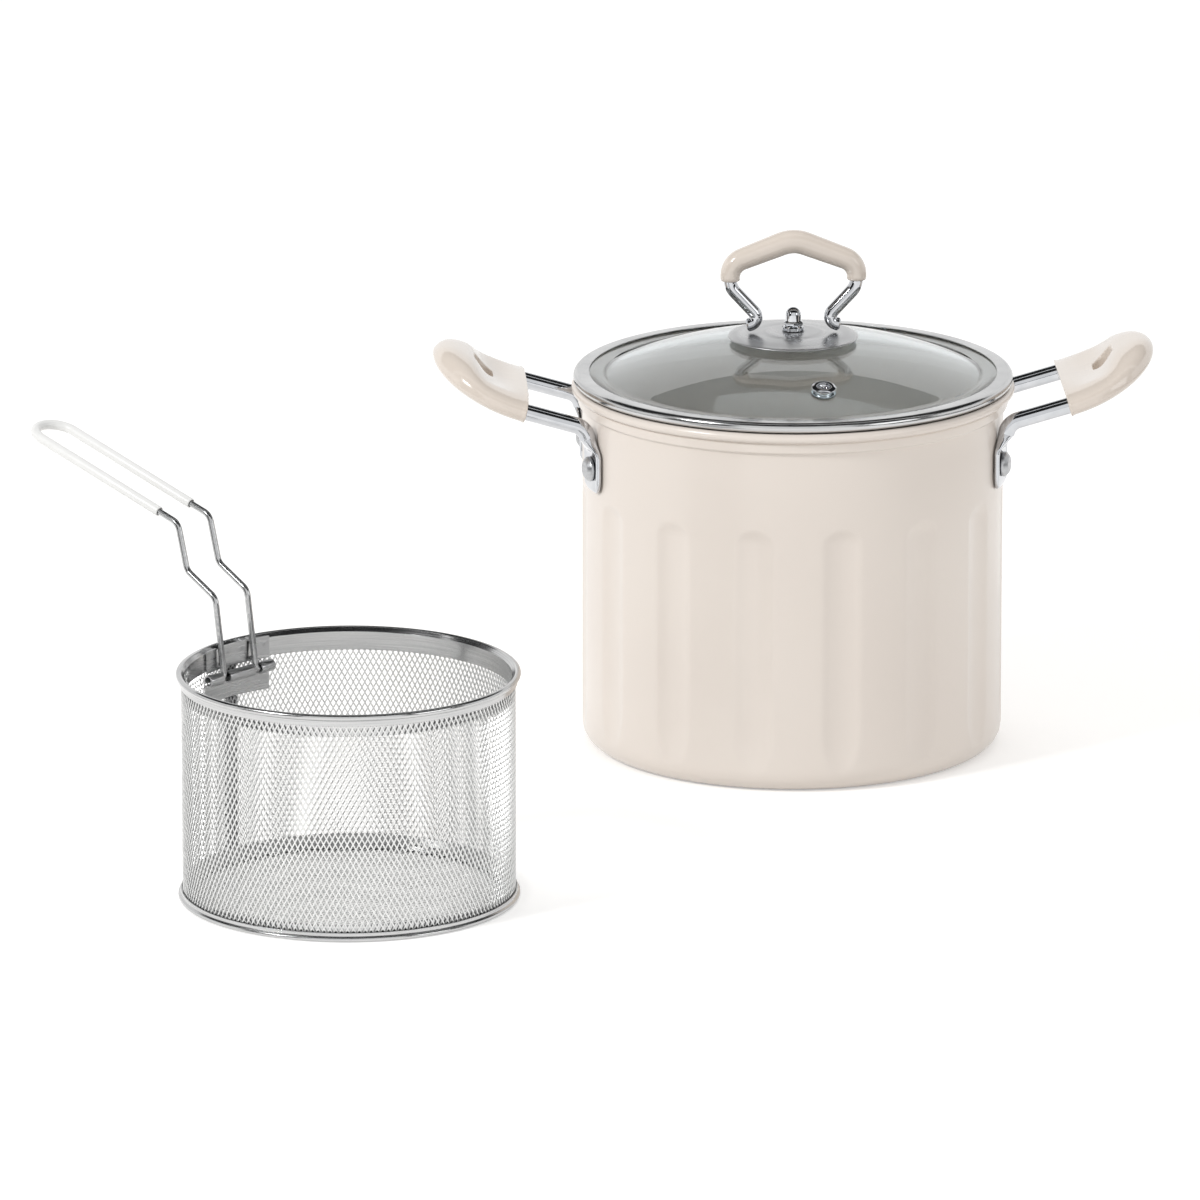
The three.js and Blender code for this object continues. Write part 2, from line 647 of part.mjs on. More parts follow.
function handleGrip() {
  const rootHalfWidth = HANDLE_LEG_SPACING / 2 + ROD_RADIUS + GRIP_SIDE_WALL;
  const halfThickness = ROD_RADIUS + FIT_GAP + GRIP_COVER;
  const scoopHalfWidth = HANDLE_LEG_SPACING / 2 - ROD_RADIUS;
  const rounded = (ratio) => Math.sign(ratio) * Math.abs(ratio) ** GRIP_CORNER_SHARE;
  const rings = GRIP_RING_SHARES.map((share) => {
    const halfWidth = rootHalfWidth * Math.sqrt(1 - share ** GRIP_PLAN_POWER_SHARE);
    const half = halfThickness * Math.sqrt(1 - share ** GRIP_END_POWER_SHARE);
    const fade = Math.sin(Math.PI * Math.min(1, share / GRIP_SCOOP_SHARE)) ** 2;
    const ring = [];
    for (let i = 0; i < GRIP_SIDES; i += 1) {
      const angle = 2 * Math.PI * i / GRIP_SIDES;
      const across = halfWidth * rounded(Math.cos(angle));
      const above = half * rounded(Math.sin(angle));
      const scoopShare = Math.max(0, 1 - (across / scoopHalfWidth) ** 2);
      const scoop = above > 0 ? GRIP_SCOOP * scoopShare * fade : 0;
      ring.push(onGrip(GRIP_LENGTH * share, across, above - scoop));
    }
    return ring;
  });
  const grip = skinned(rings);
  const rod = handleStations(FIT_GAP);
  const socket = rod.slice(rod.findIndex((station) => station.centre.x > onGrip(-2 * FIT_GAP, 0).x));
  socket[0].centre.copy(onGrip(-CUT_OVERRUN, socket[0].centre.y));
  const [narrow, wide] = [HANG_HOLE_LENGTH / 2, HANG_HOLE_WIDTH / 2];
  const stadium = new THREE.Shape();
  stadium.absarc(0, wide - narrow, narrow, 0, Math.PI, false);
  stadium.absarc(0, narrow - wide, narrow, Math.PI, 2 * Math.PI, false);
  const depth = 4 * halfThickness;
  const hole = new THREE.ExtrudeGeometry(stadium, { depth, bevelEnabled: false, curveSegments: 5 });
  const middle = onGrip(HANG_HOLE_FROM_ROOT, 0);
  hole.translate(middle.x, 0, middle.z - depth / 2);
  return cut(grip, skinned(handleRings(socket)), hole);
}

function rivet() {
  const innerFace = POT_INNER_RADIUS - 2 * FIT_GAP;
  const outerFace = POT_OUTER_RADIUS + HANDLE_TAB_THICKNESS + 2 * FIT_GAP;
  const outline = [
    [0, innerFace - RIVET_INNER_THICKNESS],
    [RIVET_INNER_RADIUS, innerFace - RIVET_INNER_THICKNESS],
    [RIVET_INNER_RADIUS, innerFace],
    [RIVET_SHANK_RADIUS, innerFace],
    [RIVET_SHANK_RADIUS, outerFace],
    [RIVET_HEAD_RADIUS, outerFace],
    [RIVET_HEAD_RADIUS * Math.SQRT1_2, outerFace + RIVET_HEAD_RISE * Math.SQRT1_2],
    [0, outerFace + RIVET_HEAD_RISE],
  ];
  return turned(outline, SMALL_ROUND_STEPS).rotateY(Math.PI / 2).translate(0, 0, RIVET_HEIGHT);
}

// Lid

// Height of the glass's outer face, less a depth below it.
function glassHeight(radius, depth = 0) {
  return GLASS_CENTRE_HEIGHT + Math.sqrt((GLASS_SPHERE_RADIUS - depth) ** 2 - radius ** 2);
}

function lidGlass() {
  const boreRadius = BOLT_RADIUS + FIT_GAP;
  const ventInside = VENT_DISTANCE - VENT_FLANGE_RADIUS;
  const ventOutside = VENT_DISTANCE + VENT_FLANGE_RADIUS;
  const midway = (GASKET_RADIUS + ventInside) / 2;
  const along = [boreRadius, GASKET_RADIUS, midway, ventInside, ventOutside, GLASS_DOME_RADIUS];
  along.sort((a, b) => a - b);
  const outline = [
    ...along.map((radius) => [radius, glassHeight(radius)]),
    [GLASS_EDGE_RADIUS, GLASS_EDGE_BOTTOM + GLASS_THICKNESS],
    [GLASS_EDGE_RADIUS, GLASS_EDGE_BOTTOM],
    ...along.reverse().map((radius) => [radius, glassHeight(radius, GLASS_THICKNESS)]),
  ];
  const hole = roundBar(VENT_BORE_RADIUS + VENT_SLEEVE_WALL + FIT_GAP, 2 * GLASS_THICKNESS + 2 * CUT_OVERRUN);
  hole.translate(0, 0, GLASS_SPHERE_RADIUS - GLASS_THICKNESS / 2);
  return cut(turned(outline), atVent(hole));
}

// Moves a piece made on the sphere's pole to the vent's place on the glass.
function atVent(geometry) {
  const lean = Math.asin(VENT_DISTANCE / GLASS_SPHERE_RADIUS);
  return geometry.rotateY(lean).rotateZ(radians(VENT_AZIMUTH)).translate(0, 0, GLASS_CENTRE_HEIGHT);
}

function ventGrommet() {
  const outer = GLASS_SPHERE_RADIUS + FIT_GAP;
  const inner = GLASS_SPHERE_RADIUS - GLASS_THICKNESS - FIT_GAP;
  const sleeveRadius = VENT_BORE_RADIUS + VENT_SLEEVE_WALL;
  const outline = [
    [VENT_BORE_RADIUS, inner - VENT_FLANGE_THICKNESS],
    [VENT_FLANGE_RADIUS, inner - VENT_FLANGE_THICKNESS],
    [VENT_FLANGE_RADIUS, inner],
    [sleeveRadius, inner],
    [sleeveRadius, outer],
    [VENT_FLANGE_RADIUS, outer],
    [VENT_FLANGE_RADIUS, outer + VENT_FLANGE_THICKNESS / 2],
    [sleeveRadius, outer + VENT_FLANGE_THICKNESS],
    [VENT_BORE_RADIUS, outer + VENT_FLANGE_THICKNESS],
  ];
  return atVent(turned(outline, SMALL_ROUND_STEPS));
}

// The steel rim folds round the glass edge and drops a flange inside the pot's rim.
function lidRimBand() {
  const pocketTop = GLASS_EDGE_BOTTOM + GLASS_THICKNESS + FIT_GAP;
  const top = pocketTop + LID_RIM_STEEL;
  const pocketRadius = GLASS_EDGE_RADIUS + FIT_GAP;
  const flangeRadius = RIM_BEAD_CENTRE - RIM_BEAD_RADIUS - LID_FLANGE_PLAY;
  const flangeInner = flangeRadius - LID_RIM_STEEL;
  const lipRadius = pocketRadius - LID_RIM_LIP;
  const middle = (LID_SEAT + top) / 2;
  const half = (top - LID_SEAT) / 2;
  const bead = arc(LID_RIM_RADIUS - half, middle, half, -90, 90, 4);
  return turned([
    ...bead,
    [lipRadius, top],
    [lipRadius, pocketTop],
    [pocketRadius, pocketTop],
    [pocketRadius, LID_SEAT + LID_RIM_STEEL],
    [flangeInner, LID_SEAT + LID_RIM_STEEL],
    [flangeInner, LID_SEAT - LID_FLANGE_DEPTH],
    [flangeRadius, LID_SEAT - LID_FLANGE_DEPTH],
    [flangeRadius, LID_SEAT],
  ]);
}

function plateHeight(radius) {
  return PLATE_TOP - PLATE_SPHERE_RADIUS + Math.sqrt(PLATE_SPHERE_RADIUS ** 2 - radius ** 2);
}

function handlePlate() {
  const bore = BOLT_RADIUS + FIT_GAP;
  const radii = [bore, GASKET_RADIUS, (GASKET_RADIUS + PLATE_RADIUS) / 2, PLATE_RADIUS];
  return turned([
    ...radii.map((radius) => [radius, plateHeight(radius) - PLATE_THICKNESS]),
    ...radii.reverse().map((radius) => [radius, plateHeight(radius)]),
  ]);
}

function washer(bottom) {
  const bore = BOLT_RADIUS + FIT_GAP;
  return turned([
    [bore, bottom],
    [GASKET_RADIUS, bottom],
    [GASKET_RADIUS, bottom + GASKET_THICKNESS],
    [bore, bottom + GASKET_THICKNESS],
  ], SMALL_ROUND_STEPS);
}

function upperWasher() {
  return washer(GASKET_TOP - GASKET_THICKNESS);
}

// The lower washer stays under the glass's curved underside.
function lowerWasher() {
  const edge = glassHeight(GASKET_RADIUS, GLASS_THICKNESS);
  return washer(edge - FIT_GAP - GASKET_THICKNESS);
}

function boltHeadTop() {
  return glassHeight(GASKET_RADIUS, GLASS_THICKNESS) - 2 * FIT_GAP - GASKET_THICKNESS;
}

function lidBolt() {
  const top = PLATE_TOP + NUT_HEIGHT - NUT_CROWN - 2 * FIT_GAP;
  const headTop = boltHeadTop();
  return turned([
    [0, headTop - BOLT_HEAD_HEIGHT],
    [BOLT_HEAD_RADIUS - BOLT_HEAD_HEIGHT / 2, headTop - BOLT_HEAD_HEIGHT],
    [BOLT_HEAD_RADIUS, headTop - BOLT_HEAD_HEIGHT / 2],
    [BOLT_HEAD_RADIUS, headTop],
    [BOLT_RADIUS, headTop],
    [BOLT_RADIUS, top],
    [0, top],
  ], SMALL_ROUND_STEPS);
}

function acornNut() {
  const seat = PLATE_TOP + FIT_GAP;
  const hexagon = new THREE.CylinderGeometry(
    NUT_ACROSS_CORNERS / 2 - FIT_GAP,
    NUT_ACROSS_CORNERS / 2,
    NUT_HEX_HEIGHT,
    6,
  ).rotateX(Math.PI / 2).translate(0, 0, seat + NUT_HEX_HEIGHT / 2);
  const top = seat + NUT_HEIGHT;
  const dome = turned([
    [0, seat + NUT_HEX_HEIGHT / 2],
    [NUT_DOME_RADIUS, seat + NUT_HEX_HEIGHT / 2],
    ...arc(0, top - NUT_DOME_RADIUS, NUT_DOME_RADIUS, 0, NUT_DOME_ANGLE, 2),
    [0, top],
  ], SMALL_ROUND_STEPS);
  const depth = NUT_HEIGHT - NUT_CROWN + CUT_OVERRUN;
  const bore = roundBar(BOLT_RADIUS + FIT_GAP, depth);
  bore.translate(0, 0, seat - CUT_OVERRUN + depth / 2);
  return cut(join(hexagon, dome), bore);
}

// The lid loop's route from one foot on the plate, over the apex, to the other.
function loopCorners() {
  const footHeight = plateHeight(LOOP_FOOT_REACH) + LOOP_RADIUS + 2 * FIT_GAP;
  const half = [
    { across: LOOP_FOOT_REACH, height: footHeight },
    { across: LOOP_THROAT, height: footHeight + LOOP_THROAT_RISE, radius: LOOP_SHARP_BEND },
    { across: LOOP_SHOULDER, height: LOOP_SHOULDER_HEIGHT, radius: LOOP_SOFT_BEND },
    { across: LOOP_SHOULDER, height: LOOP_TURN_HEIGHT, radius: LOOP_SOFT_BEND },
  ];
  const corner = (side) => ({ across, height, radius }) => ({
    at: new THREE.Vector3(side * across, 0, height),
    radius,
  });
  const apex = { at: new THREE.Vector3(0, 0, LOOP_APEX_HEIGHT), radius: LOOP_APEX_BEND };
  return [...half.map(corner(1)), apex, ...half.map(corner(-1)).reverse()];
}

function lidLoop() {
  return wire(bentRoute(loopCorners(), 4), LOOP_RADIUS, ROD_SIDES);
}

function lidLoopGrip() {
  const corners = loopCorners();
  corners.splice(0, 3, { at: new THREE.Vector3(LOOP_SHOULDER, 0, LOOP_GRIP_START) });
  corners.splice(-3, 3, { at: new THREE.Vector3(-LOOP_SHOULDER, 0, LOOP_GRIP_START) });
  const stations = bentRoute(corners, 4);
  const up = new THREE.Vector3(0, 1, 0);
  const rings = stations.map(({ point, tangent }) => {
    const heightShare = (point.z - LOOP_GRIP_START) / (LOOP_APEX_HEIGHT - LOOP_GRIP_START);
    const radius = LOOP_GRIP_END_RADIUS + (LOOP_GRIP_APEX_RADIUS - LOOP_GRIP_END_RADIUS) * heightShare;
    const across = new THREE.Vector3().crossVectors(up, tangent);
    return sectionRing({ centre: point, across, up, halfWidth: radius, halfHeight: radius }, ROD_SIDES);
  });
  const bore = bentRoute(corners, 4);
  for (const end of [bore[0], bore[bore.length - 1]]) {
    end.point.setZ(LOOP_GRIP_START - CUT_OVERRUN);
  }
  return cut(skinned(rings), wire(bore, LOOP_RADIUS + FIT_GAP, ROD_SIDES));
}

// Basket nets

// Flat cells of stretched metal: a four-sided knot at each crossing and two
// strands rising from it. Positions count in half pitches.
function netCells(columns, rows, pitchX, pitchY, isKnot) {
  const slant = Math.hypot(pitchX, pitchY);
  const inX = STRAND_WIDTH * slant / (2 * pitchY) / pitchX * 2;
  const inY = STRAND_WIDTH * slant / (2 * pitchX) / pitchY * 2;
  const cells = [];
  for (let row = 0; row <= rows; row += 1) {
    for (let column = row % 2; column < columns + row % 2; column += 2) {
      if (!isKnot(column, row)) {
        continue;
      }
      const [left, right] = [[column - inX, row], [column + inX, row]];
      const [below, above] = [[column, row - inY], [column, row + inY]];
      cells.push([left, below, right, above]);
      for (const side of [-1, 1]) {
        if (row < rows && isKnot(column + side, row + 1)) {
          const far = column + side;
          const cell = [
            [column + side * inX, row],
            [far, row + 1 - inY],
            [far - side * inX, row + 1],
            [column, row + inY],
          ];
          cells.push(side > 0 ? cell : cell.reverse());
        }
      }
    }
  }
  return cells;
}

// Gives flat cells a thickness. Each place function turns a cell corner and a
// side of the sheet, +1 or -1, into a point.
function netSolid(cells, keyOf, place) {
  const points = [];
  const indexOf = new Map();
  const index = (corner, side) => {
    const key = `${keyOf(corner)}:${side}`;
    if (!indexOf.has(key)) {
      indexOf.set(key, points.push(place(corner, side)) - 1);
    }
    return indexOf.get(key);
  };
  const edges = new Map();
  const faces = [];
  for (const cell of cells) {
    const [upper, lower] = [1, -1].map((side) => cell.map((corner) => index(corner, side)));
    faces.push([upper[0], upper[1], upper[2]], [upper[0], upper[2], upper[3]]);
    faces.push([lower[0], lower[2], lower[1]], [lower[0], lower[3], lower[2]]);
    cell.forEach((_, i) => {
      const next = (i + 1) % cell.length;
      const back = `${upper[next]}:${upper[i]}`;
      if (edges.has(back)) {
        edges.delete(back);
      } else {
        edges.set(`${upper[i]}:${upper[next]}`, [upper[i], upper[next], lower[next], lower[i]]);
      }
    });
  }
  for (const [a, b, c, d] of edges.values()) {
    faces.push([a, c, b], [a, d, c]);
  }
  return fromFaces(points, faces);
}

function cornerKey(turnLength) {
  return ([column, row]) => {
    const wrapped = turnLength ? (column % turnLength + turnLength) % turnLength : column;
    const share = Math.round(wrapped * 1000) % (turnLength ? turnLength * 1000 : Infinity);
    return `${share}:${Math.round(row * 1000)}`;
  };
}

// The side net is one stretched sheet rolled into a ring.
function sideNet() {
  const bottom = BASE_LIP_TOP + FIT_GAP;
  const top = BASKET_HEIGHT - 2 * RIM_BAND_BEAD_RADIUS - BAND_STEEL - FIT_GAP;
  const columns = 2 * SIDE_NET_COLUMNS;
  const pitchX = 2 * Math.PI * BASKET_RADIUS / SIDE_NET_COLUMNS;
  const slack = STRAND_WIDTH / 2;
  const halfPitchY = (top - bottom - 2 * slack) / SIDE_NET_ROWS;
  const cells = netCells(columns, SIDE_NET_ROWS, pitchX, 2 * halfPitchY, () => true);
  const place = ([column, row], side) => {
    const angle = 2 * Math.PI * column / columns;
    const radius = BASKET_RADIUS + side * NET_THICKNESS / 2;
    const height = Math.min(top, Math.max(bottom, bottom + slack + row * halfPitchY));
    return [radius * Math.cos(angle), radius * Math.sin(angle), height];
  };
  return netSolid(cells, cornerKey(columns), place);
}

// The bottom net is a disc of the same sheet, with its edge pressed flat in the base ring.
function bottomNet() {
  const radius = BAND_INNER_RADIUS - FIT_GAP;
  const half = (pitch) => 2 * Math.ceil(radius / pitch) + 2;
  const [halfColumns, halfRows] = [half(BOTTOM_NET_PITCH_X), half(BOTTOM_NET_PITCH_Y)];
  const reach = (column, row) => Math.hypot(
    (column - halfColumns) * BOTTOM_NET_PITCH_X / 2,
    (row - halfRows) * BOTTOM_NET_PITCH_Y / 2,
  );
  const nearDisc = (column, row) => reach(column, row) < radius + BOTTOM_NET_PITCH_Y;
  const cells = netCells(2 * halfColumns, 2 * halfRows, BOTTOM_NET_PITCH_X, BOTTOM_NET_PITCH_Y, nearDisc);
  const place = ([column, row], side) => [
    (column - halfColumns) * BOTTOM_NET_PITCH_X / 2,
    (row - halfRows) * BOTTOM_NET_PITCH_Y / 2,
    BOTTOM_NET_HEIGHT + side * NET_THICKNESS / 2,
  ];
  const [low, high] = [BOTTOM_NET_HEIGHT - NET_THICKNESS / 2, BOTTOM_NET_HEIGHT + NET_THICKNESS / 2];
  const disc = turned([[0, low], [radius, low], [radius, high], [0, high]], SIDE_NET_COLUMNS);
  const inner = radius - BOTTOM_NET_BORDER;
  const border = turned([[inner, low], [radius, low], [radius, high], [inner, high]], SIDE_NET_COLUMNS);
  const net = solidOf(netSolid(cells, cornerKey(0), place));
  return geometryOf(net.intersect(solidOf(disc)).add(solidOf(border)));
}

// Basket bands

// The rim band folds over the net's top edge, under a rolled bead, and reaches
// further down inside the net than outside it.
function rimBand() {
  const slotTop = BASKET_HEIGHT - 2 * RIM_BAND_BEAD_RADIUS - BAND_STEEL;
  const beadCentre = BAND_OUTER_RADIUS + RIM_BAND_OVERHANG - RIM_BAND_BEAD_RADIUS;
  const beadHeight = BASKET_HEIGHT - RIM_BAND_BEAD_RADIUS;
  return turned([
    [BAND_OUTER_RADIUS, RIM_BAND_OUTER_BOTTOM],
    ...arc(beadCentre, beadHeight, RIM_BAND_BEAD_RADIUS, BAND_BEAD_START_ANGLE, BAND_BEAD_END_ANGLE, 4),
    [BAND_INNER_RADIUS, beadHeight - RIM_BAND_BEAD_RADIUS / 2],
    [BAND_INNER_RADIUS, RIM_BAND_BOTTOM],
    [BAND_INNER_RADIUS + BAND_STEEL, RIM_BAND_BOTTOM],
    [BAND_INNER_RADIUS + BAND_STEEL, slotTop],
    [BAND_OUTER_RADIUS - BAND_STEEL, slotTop],
    [BAND_OUTER_RADIUS - BAND_STEEL, RIM_BAND_OUTER_BOTTOM],
  ], BAND_STEPS);
}

// The base ring holds the side net between a low outer wall and a higher inner
// one, and the bottom net in a groove.
function baseRing() {
  const lipRadius = BAND_INNER_RADIUS - BASE_RING_LIP;
  const grooveTop = BASE_LIP_TOP - BAND_STEEL;
  return turned([
    [lipRadius, 0],
    ...arc(BAND_OUTER_RADIUS, BASE_RING_BEAD_RADIUS, BASE_RING_BEAD_RADIUS, -90, 90, 3),
    [BAND_OUTER_RADIUS, BASE_RING_OUTER_HEIGHT],
    [BAND_OUTER_RADIUS - BAND_STEEL, BASE_RING_OUTER_HEIGHT],
    [BAND_OUTER_RADIUS - BAND_STEEL, BASE_LIP_TOP],
    [BAND_INNER_RADIUS + BAND_STEEL, BASE_LIP_TOP],
    [BAND_INNER_RADIUS + BAND_STEEL, BASE_RING_HEIGHT],
    [BAND_INNER_RADIUS, BASE_RING_HEIGHT],
    [BAND_INNER_RADIUS, BASE_LIP_TOP],
    [lipRadius, BASE_LIP_TOP],
    [lipRadius, grooveTop],
    [BAND_INNER_RADIUS, grooveTop],
    [BAND_INNER_RADIUS, BAND_STEEL],
    [lipRadius, BAND_STEEL],
  ], BAND_STEPS);
}

function innerSeamStrip() {
  const outer = FLANGE_OUTER_RADIUS;
  const [bottom, top] = [BASE_RING_HEIGHT + FIT_GAP, FLANGE_BOTTOM - FIT_GAP];
  return curvedStrip(outer - BAND_STEEL, outer, SEAM_STRIP_WIDTH, bottom, top, 2);
}

function outerSeamStrip() {
  const inner = NET_OUTER_RADIUS + FIT_GAP;
  const [bottom, top] = [BASE_RING_OUTER_HEIGHT + FIT_GAP, RIM_BAND_OUTER_BOTTOM - FIT_GAP];
  return curvedStrip(inner, inner + BAND_STEEL, SEAM_STRIP_WIDTH, bottom, top, 2);
}

// Basket bracket

function box(x0, x1, y0, y1, z0, z1) {
  const geometry = new THREE.BoxGeometry(x1 - x0, y1 - y0, z1 - z0);
  return geometry.translate((x0 + x1) / 2, (y0 + y1) / 2, (z0 + z1) / 2);
}

// A flange against the net, a shelf and a rolled channel for the wire's ends,
// open where the wire's legs swing.
function hingePlate() {
  const half = BRACKET_WIDTH / 2;
  const flangeInner = FLANGE_OUTER_RADIUS - BRACKET_STEEL;
  const flange = curvedStrip(flangeInner, FLANGE_OUTER_RADIUS, BRACKET_WIDTH, FLANGE_BOTTOM, SHELF_TOP);
  const shelfHalf = Math.asin(half / FLANGE_OUTER_RADIUS);
  const outline = new THREE.Shape();
  outline.moveTo(PIVOT_RADIUS, -half);
  outline.absarc(0, 0, FLANGE_OUTER_RADIUS, -shelfHalf, shelfHalf, false);
  outline.lineTo(PIVOT_RADIUS, half);
  const shelf = new THREE.ExtrudeGeometry(outline, {
    depth: BRACKET_STEEL,
    bevelEnabled: false,
    curveSegments: 6,
  }).translate(0, 0, SHELF_TOP - BRACKET_STEEL);
  const alongPivot = (radius, length) => {
    const bar = new THREE.CylinderGeometry(radius, radius, length, SMALL_ROUND_STEPS);
    return bar.translate(PIVOT_RADIUS, 0, PIVOT_HEIGHT);
  };
  const channel = alongPivot(CHANNEL_RADIUS, BRACKET_WIDTH);
  const bore = alongPivot(CHANNEL_BORE_RADIUS, BRACKET_WIDTH + 2 * CUT_OVERRUN);
  const notches = [];
  for (const side of [-1, 1]) {
    const middle = side * WIRE_LEG_SPACING / 2;
    const notchHalf = BASKET_WIRE_RADIUS + WIRE_PLAY;
    const [y0, y1] = [middle - notchHalf, middle + notchHalf];
    const [inside, outside] = [PIVOT_RADIUS - CHANNEL_RADIUS, PIVOT_RADIUS + CHANNEL_RADIUS];
    const top = PIVOT_HEIGHT + CHANNEL_RADIUS + CUT_OVERRUN;
    const bottom = PIVOT_HEIGHT - CHANNEL_RADIUS - CUT_OVERRUN;
    notches.push(box(inside - CUT_OVERRUN, PIVOT_RADIUS, y0, y1, bottom, top));
    notches.push(box(PIVOT_RADIUS - CUT_OVERRUN, outside + CUT_OVERRUN, y0, y1, SHELF_TOP, top));
  }
  return cut(join(flange, shelf, channel), bore, ...notches);
}

// A plate inside the rim band, slotted behind the wire's legs.
function upperPlate() {
  const outer = BAND_INNER_RADIUS - FIT_GAP;
  const top = UPPER_PLATE_BOTTOM + UPPER_PLATE_HEIGHT;
  const plate = curvedStrip(outer - BRACKET_STEEL, outer, BRACKET_WIDTH, UPPER_PLATE_BOTTOM, top);
  const slots = [-1, 1].map((side) => {
    const middle = side * WIRE_LEG_SPACING / 2;
    const half = BASKET_WIRE_RADIUS + SLOT_PLAY;
    const bottom = UPPER_PLATE_BOTTOM + 2 * BRACKET_STEEL;
    return box(0, outer + CUT_OVERRUN, middle - half, middle + half, bottom, top + CUT_OVERRUN);
  });
  return cut(plate, ...slots);
}

// Basket handle

// Places a point of the handle's side view on the leg at the given side.
function onHandle(outwards, upwards, aside) {
  return new THREE.Vector3(PIVOT_RADIUS + outwards, aside, PIVOT_HEIGHT + upwards);
}

function handleOutline() {
  const points = [
    [0, 0],
    [LEG_LEAN, LEG_RISE],
    [JOG_REACH, JOG_RISE],
    [STEP_REACH, STEP_RISE],
    [ARM_REACH, ARM_RISE],
  ];
  let [outwards, upwards] = [0, 0];
  return points.map(([reach, rise]) => {
    outwards += reach;
    upwards += rise;
    return [outwards, upwards];
  });
}

function basketWire() {
  const stubEnd = BRACKET_WIDTH / 2 - WIRE_STUB_INSET;
  const leg = WIRE_LEG_SPACING / 2;
  const outline = handleOutline();
  const half = (side) => [
    { at: onHandle(0, 0, side * stubEnd) },
    ...outline.map(([outwards, upwards], i) => {
      const radii = [WIRE_STUB_BEND, ARM_BEND, ARM_BEND, ARM_BEND, leg];
      return { at: onHandle(outwards, upwards, side * leg), radius: radii[i] };
    }),
  ];
  return wire(bentRoute([...half(1), ...half(-1).reverse()]), BASKET_WIRE_RADIUS, WIRE_SIDES);
}

function basketSleeve() {
  const outline = handleOutline();
  const [step, end] = [outline[outline.length - 2], outline[outline.length - 1]];
  const share = SLEEVE_FROM_STEP / Math.hypot(ARM_REACH, ARM_RISE);
  const start = [0, 1].map((axis) => step[axis] + (end[axis] - step[axis]) * share);
  const leg = WIRE_LEG_SPACING / 2;
  const half = (side) => [
    { at: onHandle(...start, side * leg) },
    { at: onHandle(...end, side * leg), radius: leg },
  ];
  const bore = BASKET_WIRE_RADIUS + FIT_GAP;
  return wire(bentRoute([...half(1), ...half(-1).reverse()]), bore + SLEEVE_WALL, WIRE_SIDES, bore);
}

// Assembly

function piece(name, geometry, finish) {
  const mesh = new THREE.Mesh(tidy(geometry), new THREE.MeshStandardMaterial(FINISH[finish]));
  mesh.name = name;
  return mesh;
}

function sideHandle(sideName, turn) {
  const handle = new THREE.Group();
  handle.rotation.z = turn;
  handle.add(piece(`${sideName}_handle_frame`, handleFrame(), 'chrome'));
  handle.add(piece(`${sideName}_handle_grip`, handleGrip(), 'grip'));
  const ends = turn === 0 ? { front: -1, rear: 1 } : { front: 1, rear: -1 };
  for (const [endName, end] of Object.entries(ends)) {
    const fastener = piece(`${sideName}_${endName}_rivet`, rivet(), 'rivet');
    fastener.rotation.z = end * handleAzimuth();
    handle.add(fastener);
  }
  return handle;
}

function potAssembly() {
  const pot = new THREE.Group();
  pot.add(piece('pot_shell', potShell(), 'enamel'));
  pot.add(sideHandle('right', 0), sideHandle('left', Math.PI));
  return pot;
}

function lidAssembly() {
  const lid = new THREE.Group();
  lid.add(piece('lid_glass', lidGlass(), 'glass'));
  lid.add(piece('lid_rim_band', lidRimBand(), 'steel'));
  lid.add(piece('steam_vent_grommet', ventGrommet(), 'chrome'));
  lid.add(piece('lid_upper_washer', upperWasher(), 'silicone'));
  lid.add(piece('lid_lower_washer', lowerWasher(), 'silicone'));
  lid.add(piece('lid_handle_plate', handlePlate(), 'steel'));
  lid.add(piece('lid_bolt', lidBolt(), 'steel'));
  lid.add(piece('lid_acorn_nut', acornNut(), 'chrome'));
  lid.add(piece('lid_handle_loop', lidLoop(), 'chrome'));
  lid.add(piece('lid_handle_grip', lidLoopGrip(), 'grip'));
  return lid;
}

function basketAssembly() {
  const basket = new THREE.Group();
  basket.position.set(BASKET_X, BASKET_Y, 0);
  basket.rotation.z = radians(BASKET_HANDLE_AZIMUTH);
  basket.add(piece('basket_rim_band', rimBand(), 'steel'));
  basket.add(piece('basket_side_net', sideNet(), 'steel'));
  basket.add(piece('basket_bottom_net', bottomNet(), 'steel'));
  basket.add(piece('basket_base_ring', baseRing(), 'steel'));
  basket.add(piece('basket_inner_seam_strip', innerSeamStrip(), 'steel'));
  basket.add(piece('basket_outer_seam_strip', outerSeamStrip(), 'steel'));
  basket.add(piece('bracket_hinge_plate', hingePlate(), 'steel'));
  basket.add(piece('bracket_upper_plate', upperPlate(), 'steel'));
  basket.add(piece('basket_handle_wire', basketWire(), 'chrome'));
  basket.add(piece('basket_handle_sleeve', basketSleeve(), 'sleeve'));
  return basket;
}

const group = new THREE.Group();
group.add(potAssembly(), lidAssembly(), basketAssembly());

export default group;
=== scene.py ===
"""A deep fry pot with its glass lid and wire basket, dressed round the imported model.

Lengths are in metres and angles in degrees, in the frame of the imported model: the origin
is the centre of the pot's underside, +Z is up and the viewer stands towards -Y.
"""

import logging
from dataclasses import dataclass, replace
from enum import Enum
from itertools import accumulate
from math import asin, atan2, ceil, copysign, cos, hypot, pi, radians, sin, sqrt, tan, tau
from typing import Any, Callable, Optional, Sequence, Union

import bmesh
import bpy
from bpy.types import ID, Material, Node, NodeSocket, NodeTree, Object
from mathutils import Matrix, Vector


